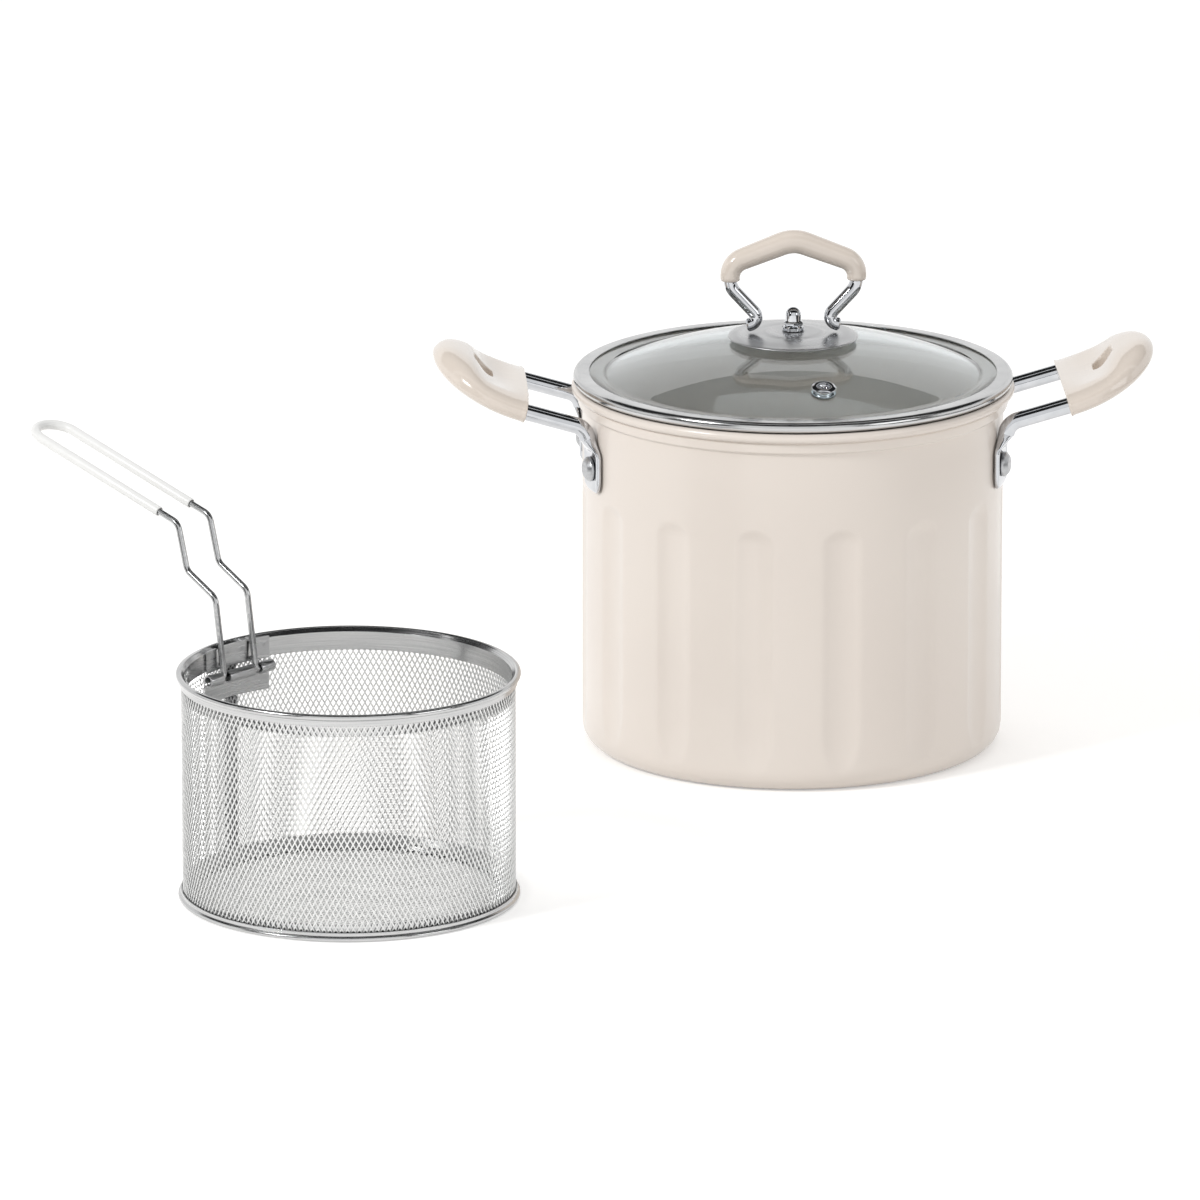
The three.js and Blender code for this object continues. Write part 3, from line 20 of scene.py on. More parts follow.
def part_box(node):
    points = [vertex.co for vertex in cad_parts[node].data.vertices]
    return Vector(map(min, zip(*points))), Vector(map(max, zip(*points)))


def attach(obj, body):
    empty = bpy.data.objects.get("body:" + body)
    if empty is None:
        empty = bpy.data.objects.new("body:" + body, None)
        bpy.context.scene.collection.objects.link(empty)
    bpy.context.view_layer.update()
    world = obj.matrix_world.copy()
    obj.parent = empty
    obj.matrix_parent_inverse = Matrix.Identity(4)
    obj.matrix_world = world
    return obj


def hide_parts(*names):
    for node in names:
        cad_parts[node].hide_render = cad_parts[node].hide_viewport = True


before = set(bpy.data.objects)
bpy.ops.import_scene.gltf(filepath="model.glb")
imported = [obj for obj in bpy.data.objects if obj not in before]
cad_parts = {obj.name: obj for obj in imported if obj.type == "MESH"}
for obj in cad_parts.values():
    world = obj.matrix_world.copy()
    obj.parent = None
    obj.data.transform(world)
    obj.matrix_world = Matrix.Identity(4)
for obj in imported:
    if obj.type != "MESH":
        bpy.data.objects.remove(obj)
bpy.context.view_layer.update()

LOG = logging.getLogger("fry_pot")

# The gap between pieces that touch, and how near two points lie to be merged.
FIT_GAP = 0.0003
MERGE_DISTANCE = 1e-6
NET_MERGE_DISTANCE = 1e-5
# How finely round shapes are drawn, and where an edge counts as sharp.
ROUND_STEPS = 144
SMALL_ROUND_STEPS = 48
WIRE_SIDES = 20
FILLET_STEPS = 5
BEND_STEPS = 12
SHARP_ANGLE = radians(38.0)
UP = Vector((0.0, 0.0, 1.0))
MATH = "ShaderNodeMath"
VECTOR_MATH = "ShaderNodeVectorMath"

Pair = tuple[float, float]
Triple = tuple[float, float, float]
Outline = list[Pair]
Ring = list[Vector]


class Body(Enum):
    """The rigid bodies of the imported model."""

    POT = "pot"
    LID = "lid"
    BASKET = "basket"
    HANDLE = "basket_handle"


class Side(Enum):
    """The sides of the pot that carry a handle, each with its turn about the pot's axis."""

    RIGHT = 0.0
    LEFT = pi


class Socket(Enum):
    """The kinds of named input that the shape trees take."""

    NUMBER = "NodeSocketFloat"
    COUNT = "NodeSocketInt"
    OBJECT = "NodeSocketObject"
    FINISH = "NodeSocketMaterial"


# Nodes


def add_node(tree: NodeTree, kind: str, *inputs: Any, **settings: Any) -> Node:
    """Add a node with its settings and links.

    Args:
        tree: The tree that the node goes into.
        kind: The node's type name.
        inputs: Values, sockets or nodes in order, or tables of them by name or number. A node
            gives its first output.
        settings: Properties of the node itself.

    Returns:
        The new node.
    """
    node = tree.nodes.new(kind)
    for name, value in settings.items():
        setattr(node, name, value)
    for place, given in enumerate(inputs):
        for key, value in (given if isinstance(given, dict) else {place: given}).items():
            if isinstance(value, Node):
                value = value.outputs[0]
            if isinstance(value, NodeSocket):
                tree.links.new(value, node.inputs[key])
            else:
                node.inputs[key].default_value = value
    return node


def linear(colour: str) -> tuple[float, float, float, float]:
    """Turn an sRGB colour into linear light.

    Args:
        colour: The colour in hex, such as "e6ddd6".

    Returns:
        Its linear red, green and blue, and full alpha.
    """
    shares = [int(colour[i : i + 2], 16) / 255 for i in (0, 2, 4)]
    light = [s / 12.92 if s <= 0.04045 else ((s + 0.055) / 1.055) ** 2.4 for s in shares]
    return (*light, 1.0)


def new_material(name: str, colour: str, roughness: float) -> tuple[Material, Node]:
    """Open a material on a Principled shader.

    Args:
        name: The material's name.
        colour: Its sRGB colour.
        roughness: The shader's roughness.

    Returns:
        The material and its shader.
    """
    made = bpy.data.materials.new(name)
    made.use_nodes = True
    shader = made.node_tree.nodes["Principled BSDF"]
    shader.inputs["Base Color"].default_value = linear(colour)
    shader.inputs["Roughness"].default_value = roughness
    return made, shader


# Finishes


@dataclass(frozen=True)
class Grain:
    """A noise over a piece.

    Its size is that of its features, its detail the number of finer noises over it and its swirl
    how far they bend round. Its length is how far they run level, if they are drawn into lines.
    """

    size: float
    detail: float = 1.0
    swirl: float = 0.0
    length: Optional[float] = None

    @property
    def scale(self) -> Triple:
        """Features to the metre along x, y and z."""
        level = 1.0 / (self.length or self.size)
        return level, level, 1.0 / self.size


@dataclass(frozen=True)
class Finish:
    """A surface finish that becomes one material, with the sRGB colour and the roughness given.

    The noise of its patches turns the colour towards its shade, if it has one, and moves the
    roughness by its spread each way, between two values of the noise where it is worn. The noise
    of its skin, if it has one, raises the surface by its depth, and its strength is how much of
    those slopes the light shows. Its extras are the shader's other values by name.
    """

    name: str
    slot: str
    colour: str
    roughness: float
    patches: Grain
    shade: str = ""
    spread: float = 0.0
    worn: Pair = (0.2, 0.8)
    skin: Optional[Grain] = None
    depth: float = 0.0
    strength: float = 0.0
    extras: tuple[tuple[str, float], ...] = ()

    def material(self) -> Material:
        """Build the material, or find it if it is built already.

        Returns:
            The material.
        """
        found = bpy.data.materials.get(self.name)
        if found:
            return found
        made, shader = new_material(self.name, self.colour, self.roughness)
        tree = made.node_tree
        for label, value in self.extras:
            shader.inputs[label].default_value = value
        place = add_node(tree, "ShaderNodeTexCoord").outputs["Object"]
        noises = []
        for grain in filter(None, (self.patches, self.skin)):
            drawn = add_node(tree, "ShaderNodeMapping", {"Vector": place, "Scale": grain.scale})
            noises.append(add_node(tree, "ShaderNodeTexNoise", {
                "Vector": drawn, "Scale": 1.0, "Detail": grain.detail, "Distortion": grain.swirl}))
        self.dress(tree, shader, *noises)
        return made

    def dress(self, tree: NodeTree, shader: Node, patches: Node,
              skin: Optional[Node] = None) -> None:
        """Let the patches shade the colour and the roughness, and the skin raise the surface.

        Args:
            tree: The material's tree.
            shader: Its shader.
            patches: The noise of the patches.
            skin: The noise of the skin, if it has one.
        """
        if self.shade:
            mix = add_node(tree, "ShaderNodeMix", {
                0: patches, 6: linear(self.colour), 7: linear(self.shade)}, data_type="RGBA")
            tree.links.new(mix.outputs[2], shader.inputs["Base Color"])
        low, high = self.worn
        rough = add_node(tree, "ShaderNodeMapRange", {
            "Value": patches, "From Min": low, "From Max": high,
            "To Min": self.roughness - self.spread, "To Max": self.roughness + self.spread},
            interpolation_type="SMOOTHSTEP")
        tree.links.new(rough.outputs[0], shader.inputs["Roughness"])
        if skin:
            bump = add_node(tree, "ShaderNodeBump", {
                "Height": skin, "Distance": self.depth, "Strength": self.strength})
            tree.links.new(bump.outputs[0], shader.inputs["Normal"])


METAL = (("Metallic", 1.0),)

# Vitreous enamel, sprayed on pressed steel and fired: an even cream, hardly clouded, with a soft,
# glassy gloss and a ripple like orange peel.
ENAMEL = Finish(
    "cream vitreous enamel", "cream_enamel", "eae1d8", 0.3, Grain(0.07, 0.0), "e2d8cf", 0.02,
    skin=Grain(0.0035), depth=0.00004, strength=0.12,
    extras=(("Coat Weight", 0.35), ("Coat Roughness", 0.12)))
# Phenolic, compression moulded: a slightly warmer cream, faintly uneven where it flowed, with
# small, crisp highlights.
GRIP = Finish(
    "cream moulded phenolic", "cream_grip", "e0d5ca", 0.14, Grain(0.02, 2.0, 0.6), "dacfc4", 0.03,
    skin=Grain(0.0025), depth=0.00003, strength=0.1,
    extras=(("Coat Weight", 0.6), ("Coat Roughness", 0.06)))
# Vinyl, dip coated on the wire: plain white, soft and a little waxy.
SLEEVE = replace(
    GRIP, name="white dip-coated vinyl", slot="white_sleeve", colour="ebebea", roughness=0.34,
    patches=Grain(0.008, 2.0, 0.6), shade="e2e2e0",
    extras=(("Coat Weight", 0.2), ("Coat Roughness", 0.06)))
# Chrome, plated on polished steel: a cold mirror, black and white in bands along each rod, which
# a faint haze and the waviness of polishing break a little.
CHROME = Finish(
    "polished chrome plate", "chrome", "d6d7da", 0.05, Grain(0.006, 3.0), "b9bcc0", 0.02,
    skin=Grain(0.0012), depth=0.00001, strength=0.08, extras=METAL)
# Stainless steel, rolled and brushed round: pale grey with soft glints drawn out along the band.
# Its lines are drawn about four times as coarse as real grit, so that they show.
BAND_LINES = Grain(0.0004, 4.0, length=0.03)
STEEL_BAND = Finish(
    "brushed stainless band", "stainless", "dadad9", 0.18, BAND_LINES, "a9aaac", 0.08,
    skin=BAND_LINES, depth=0.00002, strength=0.3, extras=METAL)
# Stainless steel, pressed: a duller, mid grey sheet with short brush marks.
PLATE_LINES = Grain(0.0008, 4.0, length=0.03)
STEEL_PLATE = replace(
    STEEL_BAND, name="pressed stainless plate", colour="c8c8c8", roughness=0.3,
    patches=PLATE_LINES, skin=PLATE_LINES)
# Stainless steel strip, coloured dark grey as painted shade: it shows through the seam's mesh as
# the shade there.
STEEL_SEAM = replace(
    STEEL_PLATE, name="heat-dulled stainless strip", colour="626264", roughness=0.45,
    shade="4a4a4c")
# Aluminium, turned and upset: satin pale grey with faint rings.
RIVET_LINES = Grain(0.0006, 4.0, length=0.006)
ALUMINIUM = replace(
    STEEL_BAND, name="turned aluminium rivet", slot="rivet_metal", colour="c3c5c7", roughness=0.34,
    patches=RIVET_LINES, skin=RIVET_LINES)
# Stainless steel, slit and stretched: many small glints, almost white over the whole net.
STEEL_NET = Finish(
    "stretched stainless net", "stainless", "f0f0ef", 0.38, Grain(0.0016, 2.0), "d0d1d1", 0.07,
    extras=METAL)
# Stainless steel, cold drawn: a bright wire with one long highlight.
STEEL_WIRE = replace(
    STEEL_NET, name="drawn stainless wire", colour="cfcfcf", roughness=0.2, shade="9fa1a3")
# Stainless steel, slit, stretched and pressed flat: mid grey, darker than the net it covers as
# painted shade.
STEEL_MESH = replace(
    STEEL_NET, name="flattened stainless mesh", colour="b0b0b1", roughness=0.35, shade="808183")
# Soda-lime glass, pressed and tempered: clear, with a cool grey body, sharp reflections and a
# trace of smudge.
GLASS = Finish(
    "tempered lid glass", "lid_glass", "e8eff1", 0.02, Grain(0.03, 4.0), spread=0.02,
    worn=(0.4, 0.8), extras=(("Transmission Weight", 1.0), ("IOR", 1.52)))
# Silicone, moulded: milky and soft, with a fine matt grain.
RUBBER_GRAIN = Grain(0.0008, 2.0)
RUBBER = Finish(
    "moulded silicone", "silicone", "e4e2de", 0.55, RUBBER_GRAIN, "cfcdc8", 0.05,
    skin=RUBBER_GRAIN, depth=0.00003, strength=0.3, extras=(("Transmission Weight", 0.25),))


# Shapes


def filleted(corners: Sequence[tuple[float, ...]], closed: bool = True) -> Outline:
    """Round the corners of an outline.

    Args:
        corners: Each corner's two coordinates, then its fillet radius if it has one.
        closed: Whether the last corner joins the first.

    Returns:
        The outline's points.
    """
    outline: Outline = []
    for i, corner in enumerate(corners):
        at, radius = Vector(corner[:2]), corner[2] if len(corner) > 2 else 0.0
        if radius == 0.0 or (not closed and i in (0, len(corners) - 1)):
            outline.append((at.x, at.y))
            continue
        back = (Vector(corners[i - 1][:2]) - at).normalized()
        ahead = (Vector(corners[(i + 1) % len(corners)][:2]) - at).normalized()
        half = back.angle(ahead) / 2
        centre = at + (back + ahead).normalized() * radius / sin(half)
        start, end = (at + way * radius / tan(half) - centre for way in (back, ahead))
        turn = copysign(pi - 2 * half, start.x * end.y - start.y * end.x)
        for step in range(FILLET_STEPS + 1):
            angle = atan2(start.y, start.x) + turn * step / FILLET_STEPS
            outline.append((centre.x + radius * cos(angle), centre.y + radius * sin(angle)))
    return outline


def arc(centre: Pair, radius: float, start: float, end: float, steps: int = 10) -> Outline:
    """Give the points of an arc from one angle to another."""
    angles = [radians(start + (end - start) * i / steps) for i in range(steps + 1)]
    return [(centre[0] + radius * cos(a), centre[1] + radius * sin(a)) for a in angles]


def placed(name: str, data: ID) -> Object:
    """Put a new object in the scene.

    Args:
        name: The object's name.
        data: Its mesh, lamp or camera.

    Returns:
        The object.
    """
    piece = bpy.data.objects.new(name, data)
    bpy.context.scene.collection.objects.link(piece)
    return piece


def polar(radius: float, angle: float, height: float = 0.0) -> Vector:
    """Give the point at a radius, an angle from +X in radians and a height."""
    return Vector((radius * cos(angle), radius * sin(angle), height))


def finished(name: str, shape: bmesh.types.BMesh) -> Object:
    """Close a mesh's doubles, turn its faces out, smooth it and put it in the scene.

    Args:
        name: The new object's name.
        shape: The mesh, which is used up.

    Returns:
        The new object.
    """
    bmesh.ops.remove_doubles(shape, verts=shape.verts, dist=MERGE_DISTANCE)
    bmesh.ops.recalc_face_normals(shape, faces=shape.faces)
    mesh = bpy.data.meshes.new(name)
    shape.to_mesh(mesh)
    shape.free()
    mesh.shade_smooth()
    mesh.set_sharp_from_angle(angle=SHARP_ANGLE)
    return placed(name, mesh)


def skinned(name: str, rings: Sequence[Ring], looped: bool = False) -> Object:
    """Join closed rings of points into a closed mesh.

    Args:
        name: The new object's name.
        rings: Rings with the same number of points.
        looped: Whether the last ring joins the first. If not, a face closes each end.

    Returns:
        The new object.
    """
    shape = bmesh.new()
    rows = [[shape.verts.new(point) for point in ring] for ring in rings]
    for here, there in zip(rows, rows[1:] + rows[:1] if looped else rows[1:]):
        for i, corner in enumerate(here):
            after = (i + 1) % len(here)
            shape.faces.new((corner, here[after], there[after], there[i]))
    if not looped:
        shape.faces.new(rows[0])
        shape.faces.new(rows[-1])
    return finished(name, shape)


def turned(name: str, outline: Outline, steps: int = ROUND_STEPS) -> Object:
    """Turn a closed outline of radii and heights about the Z axis, in even steps."""
    angles = [tau * i / steps for i in range(steps)]
    return skinned(name, [[polar(r, a, z) for r, z in outline] for a in angles], looped=True)


def joined(name: str, pieces: Sequence[Object]) -> Object:
    """Put several pieces' meshes into one object.

    Args:
        name: The new object's name.
        pieces: The pieces, which are removed.

    Returns:
        The new object.
    """
    shape = bmesh.new()
    for piece in pieces:
        shape.from_mesh(piece.data)
        bpy.data.objects.remove(piece)
    return finished(name, shape)


def applied(piece: Object) -> Object:
    """Turn a piece's modifiers into plain mesh.

    Args:
        piece: The piece.

    Returns:
        The same piece.
    """
    graph = bpy.context.evaluated_depsgraph_get()
    mesh = bpy.data.meshes.new_from_object(piece.evaluated_get(graph), depsgraph=graph)
    piece.modifiers.clear()
    piece.data = mesh
    return piece


def cut_away(piece: Object, *cutters: Object) -> None:
    """Cut shapes out of a piece.

    Args:
        piece: The piece.
        cutters: The shapes, which are removed.
    """
    for cutter in cutters:
        cut = piece.modifiers.new(cutter.name, "BOOLEAN")
        cut.operation, cut.solver, cut.object = "DIFFERENCE", "EXACT", cutter
    applied(piece)
    for cutter in cutters:
        bpy.data.objects.remove(cutter)


@dataclass
class Station:
    """A place along a bent bar: its point, its heading and one side of its section."""

    point: Vector
    tangent: Vector
    side: Vector


def bent_route(corners: Sequence[tuple[Vector, float]], side: Vector) -> list[Station]:
    """Run straight from corner to corner with a round bend at each inner one.

    Args:
        corners: Each corner and its bend radius; the ends' radii go unused.
        side: A direction square to the first run, carried along without twist.

    Returns:
        The stations of the route.
    """
    places = [(corners[0][0], (corners[1][0] - corners[0][0]).normalized())]
    for (before, _), (at, radius), (after, _) in zip(corners, corners[1:], corners[2:]):
        arriving, leaving = (at - before).normalized(), (after - at).normalized()
        turn = arriving.angle(leaving)
        inward = (leaving - arriving * leaving.dot(arriving)).normalized()
        centre = at - arriving * radius * tan(turn / 2) + inward * radius
        for step in range(BEND_STEPS + 1):
            angle = turn * step / BEND_STEPS
            point = centre - inward * radius * cos(angle) + arriving * radius * sin(angle)
            places.append((point, arriving * cos(angle) + inward * sin(angle)))
    places.append((corners[-1][0], (corners[-1][0] - corners[-2][0]).normalized()))
    stations: list[Station] = []
    for point, tangent in places:
        if stations and (point - stations[-1].point).length < FIT_GAP / 3:
            continue
        side = (side - tangent * side.dot(tangent)).normalized()
        stations.append(Station(point, tangent, side))
    return stations


def round_ring(station: Station, radius: float, sides: int = WIRE_SIDES,
               along: float = 0.0) -> Ring:
    """Draw a circle round a bar's route.

    Args:
        station: The place on the route.
        radius: The circle's radius.
        sides: How many points it has.
        along: How far on from the station it lies.

    Returns:
        The circle's points.
    """
    other = station.tangent.cross(station.side)
    angles = [tau * i / sides for i in range(sides)]
    reaches = [station.side * cos(a) + other * sin(a) for a in angles]
    return [station.point + station.tangent * along + reach * radius for reach in reaches]


def bar(name: str, stations: Sequence[Station], radius: float, edge: float = 0.0004) -> Object:
    """Make a round bar along a route.

    Args:
        name: The new object's name.
        stations: The route.
        radius: The bar's radius.
        edge: How far its two ends are rounded over.

    Returns:
        The new object.
    """
    first, last = stations[0], stations[-1]
    rings = [round_ring(first, radius - edge), round_ring(first, radius, along=edge)]
    rings += [round_ring(station, radius) for station in stations[1:-1]]
    rings += [round_ring(last, radius, along=-edge), round_ring(last, radius - edge)]
    return skinned(name, rings)


def sleeve(name: str, stations: Sequence[Station], radii: Callable[[Vector], float], bore: float,
           edge: float) -> Object:
    """Make a hollow sleeve along a route.

    Args:
        name: The new object's name.
        stations: The route.
        radii: Gives the outer radius at a point.
        bore: The inner radius.
        edge: How far the rims are rounded over.

    Returns:
        The new object.
    """
    sides = 2 * WIRE_SIDES
    first, last = stations[0], stations[-1]
    near, far = radii(first.point), radii(last.point)
    lips = ((edge, 0.0), (edge / 3, edge / 3), (0.0, edge))
    rings = [round_ring(first, near - inset, sides, along) for inset, along in lips]
    rings += [round_ring(station, radii(station.point), sides) for station in stations[1:-1]]
    rings += [round_ring(last, far - inset, sides, -along) for inset, along in reversed(lips)]
    rings += [round_ring(station, bore, sides) for station in reversed(stations)]
    return skinned(name, rings, looped=True)


def superoval(share: float, power: float) -> float:
    """Bend a sine or cosine so that an oval grows squarer as the power falls below 1."""
    return copysign(abs(share) ** power, share)


def smooth_share(value: float, low: float, high: float) -> float:
    """Rise smoothly from 0 at the low value to 1 at the high one."""
    share = min(1.0, max(0.0, (value - low) / (high - low)))
    return share * share * (3 - 2 * share)


def curved_plate(name: str, inner: float, outer: float, across: Sequence[float],
                 heights: Sequence[float], is_solid: Callable[[float, float], bool]) -> Object:
    """Make a plate that follows a cylinder, with cut-outs, centred on +X.

    Args:
        name: The new object's name.
        inner: Radius of its inner face.
        outer: Radius of its outer face.
        across: Places along the arc where the plate may change, in order.
        heights: Heights where it may change, in order.
        is_solid: Whether the plate fills the cell round a place and a height.

    Returns:
        The new object.
    """
    shape = bmesh.new()
    corners = {}
    for i, aside in enumerate(across):
        for j, height in enumerate(heights):
            for radius in (inner, outer):
                corners[i, j, radius] = shape.verts.new(polar(radius, aside / outer, height))
    filled = {
        (i, j)
        for i in range(len(across) - 1)
        for j in range(len(heights) - 1)
        if is_solid((across[i] + across[i + 1]) / 2, (heights[j] + heights[j + 1]) / 2)
    }
    for i, j in filled:
        loop = [(i, j), (i + 1, j), (i + 1, j + 1), (i, j + 1)]
        for radius in (inner, outer):
            shape.faces.new([corners[a, b, radius] for a, b in loop])
        beside = [(i, j - 1), (i + 1, j), (i, j + 1), (i - 1, j)]
        for k, cell in enumerate(beside):
            if cell not in filled:
                (a, b), (c, d) = loop[k], loop[(k + 1) % 4]
                wall = ((a, b, inner), (c, d, inner), (c, d, outer), (a, b, outer))
                shape.faces.new([corners[spot] for spot in wall])
    bmesh.ops.delete(shape, geom=[v for v in shape.verts if not v.link_faces], context="VERTS")
    return finished(name, shape)


# Shapes that geometry nodes make


class ShapeTree:
    """A Geometry Nodes tree with named inputs, which ends in a finish."""

    def __init__(self, name: str, sizes: Sequence[str], others: dict[str, Socket]) -> None:
        """Open the tree.

        Args:
            name: The tree's name.
            sizes: The labels of its numbers.
            others: The kinds of its other inputs, to which a finish is added.
        """
        self.group = bpy.data.node_groups.new(name, "GeometryNodeTree")
        face = self.group.interface
        face.new_socket("Shape", in_out="INPUT", socket_type="NodeSocketGeometry")
        kinds = {**dict.fromkeys(sizes, Socket.NUMBER), **others, "Finish": Socket.FINISH}
        for label, kind in kinds.items():
            face.new_socket(label, in_out="INPUT", socket_type=kind.value)
        face.new_socket("Shape", in_out="OUTPUT", socket_type="NodeSocketGeometry")
        self.source = add_node(self.group, "NodeGroupInput")

    def __getitem__(self, label: str) -> NodeSocket:
        """Give the socket of a named input."""
        return self.source.outputs[label]

    def node(self, kind: str, *inputs: Any, **settings: Any) -> Node:
        """Add a node to this tree."""
        return add_node(self.group, kind, *inputs, **settings)

    def position(self) -> tuple[Node, NodeSocket, NodeSocket, NodeSocket]:
        """Add the nodes that give each point's place and its three coordinates."""
        place = self.node("GeometryNodeInputPosition")
        return place, *self.node("ShaderNodeSeparateXYZ", place).outputs

    def close(self, shape: Union[Node, NodeSocket]) -> None:
        """End the tree: realize what is instanced and give it the finish.

        Args:
            shape: The node or socket that gives the shape.
        """
        real = self.node("GeometryNodeRealizeInstances", {"Geometry": shape})
        self.node("NodeGroupOutput", self.node("GeometryNodeSetMaterial", {
            "Geometry": real, "Material": self["Finish"]}))

    def shape(self, piece: Object, values: dict) -> Object:
        """Run the tree on a piece and keep the result as plain mesh.

        Args:
            piece: The object whose mesh goes in.
            values: A value for each named input.

        Returns:
            The same object with its new mesh.
        """
        modifier = piece.modifiers.new(self.group.name, "NODES")
        modifier.node_group = self.group
        for item in self.group.interface.items_tree:
            if item.in_out == "INPUT" and item.name in values:
                modifier[item.identifier] = values[item.name]
        return applied(piece)


def flute_press() -> ShapeTree:
    """Build the tree that presses upright flutes with round ends into a turned wall.

    Returns:
        The tree.
    """
    tree = ShapeTree("press flutes", [
        "Flutes", "First angle", "Wall radius", "Half width", "Depth", "Low", "High", "End length",
        "Fade length", "Edge softness"], {})
    _, x, y, z = tree.position()
    pitch = tree.node(MATH, tau, tree["Flutes"], operation="DIVIDE")
    azimuth = tree.node(MATH, y, x, operation="ARCTAN2")
    from_first = tree.node(MATH, azimuth, tree["First angle"], operation="SUBTRACT")
    turns = tree.node(MATH, from_first, pitch, operation="DIVIDE")
    nearest = tree.node(MATH, turns, operation="ROUND")
    aside = tree.node(MATH, turns, nearest, operation="SUBTRACT")
    angle = tree.node(MATH, aside, pitch, operation="MULTIPLY")
    length = tree.node(MATH, angle, tree["Wall radius"], operation="MULTIPLY")
    across = tree.node(MATH, length, tree["Half width"], operation="DIVIDE")
    above = tree.node(MATH, z, tree["High"], operation="SUBTRACT")
    below = tree.node(MATH, tree["Low"], z, operation="SUBTRACT")
    past_top = tree.node(MATH, above, tree["End length"], operation="DIVIDE")
    past_foot = tree.node(MATH, below, tree["Fade length"], operation="DIVIDE")
    over = tree.node(MATH, past_top, past_foot, operation="MAXIMUM")
    along = tree.node(MATH, over, 0.0, operation="MAXIMUM")
    square = tree.node(MATH, across, across, operation="MULTIPLY")
    sum_of_squares = tree.node(MATH, along, along, square, operation="MULTIPLY_ADD")
    hollow = tree.node(MATH, 1.0, sum_of_squares, operation="SUBTRACT")
    rounded = tree.node(MATH, hollow, 0.0, tree["Edge softness"], operation="SMOOTH_MAX")
    pressed = tree.node(MATH, rounded, tree["Depth"], operation="MULTIPLY")
    flat = tree.node("ShaderNodeCombineXYZ", x, y)
    inward = tree.node(VECTOR_MATH, flat, operation="NORMALIZE")
    move = tree.node(VECTOR_MATH, {0: inward, "Scale": pressed}, operation="SCALE")
    back = tree.node(VECTOR_MATH, (0.0, 0.0, 0.0), move, operation="SUBTRACT")
    tree.close(tree.node("GeometryNodeSetPosition", {"Geometry": tree["Shape"], "Offset": back}))
    return tree


def stud_ring() -> ShapeTree:
    """Build the tree that sets a copy of a stud, made along +X, on each point round the Z axis.

    Returns:
        The tree.
    """
    tree = ShapeTree("studs round an axis", ["Facing"], {"Stud": Socket.OBJECT})
    _, x, y, _ = tree.position()
    outward = tree.node("ShaderNodeCombineXYZ", x, y)
    facing = tree.node(VECTOR_MATH, {0: outward, "Scale": tree["Facing"]}, operation="SCALE")
    turn = tree.node("FunctionNodeAlignRotationToVector", {"Vector": facing}, axis="X")
    stud = tree.node("GeometryNodeObjectInfo", {"Object": tree["Stud"]})
    points = tree.node("GeometryNodeMeshToPoints", {"Mesh": tree["Shape"]})
    tree.close(tree.node("GeometryNodeInstanceOnPoints", {
        "Points": points, "Instance": stud.outputs["Geometry"], "Rotation": turn}))
    return tree


def cell_field(tree: ShapeTree) -> Node:
    """Add the staggered rows of net cells that both nets start from.

    Args:
        tree: A tree with the inputs of every net.

    Returns:
        The node that instances a cell on each point of the field.
    """
    last_column = tree.node(MATH, tree["Columns"], 1.0, operation="SUBTRACT")
    last_row = tree.node(MATH, tree["Rows"], 1.0, operation="SUBTRACT")
    width = tree.node(MATH, last_column, tree["Pitch"], operation="MULTIPLY")
    height = tree.node(MATH, last_row, tree["Rise"], operation="MULTIPLY")
    grid = tree.node("GeometryNodeMeshGrid", width, height, tree["Columns"], tree["Rows"])
    climbed = tree.node(MATH, height, 0.5, tree.position()[2], operation="MULTIPLY_ADD")
    row = tree.node(MATH, climbed, tree["Rise"], operation="DIVIDE")
    whole = tree.node(MATH, row, operation="ROUND")
    odd = tree.node(MATH, whole, 2.0, operation="FLOORED_MODULO")
    shift = tree.node(MATH, odd, tree["Pitch"], operation="MULTIPLY")
    half_shift = tree.node(MATH, shift, 0.5, operation="MULTIPLY")
    offset = tree.node("ShaderNodeCombineXYZ", half_shift)
    staggered = tree.node("GeometryNodeSetPosition", {"Geometry": grid, "Offset": offset})
    cell = tree.node("GeometryNodeObjectInfo", {"Object": tree["Cell"]})
    points = tree.node("GeometryNodeMeshToPoints", {"Mesh": staggered})
    return tree.node("GeometryNodeInstanceOnPoints", {
        "Points": points, "Instance": cell.outputs["Geometry"]})


def merged_net(tree: ShapeTree, cells: Node, places: Node) -> ShapeTree:
    """Move the cells' points to their places, merge them where cells meet and end the tree.

    Args:
        tree: The net's tree.
        cells: The node that gives the cells.
        places: The node that gives the places.

    Returns:
        The tree.
    """
    moved = tree.node("GeometryNodeSetPosition", {"Geometry": cells, "Position": places})
    tree.close(tree.node("GeometryNodeMergeByDistance", {
        "Geometry": moved, "Distance": NET_MERGE_DISTANCE}))
    return tree


NET_INPUTS = {"Cell": Socket.OBJECT, "Columns": Socket.COUNT, "Rows": Socket.COUNT}


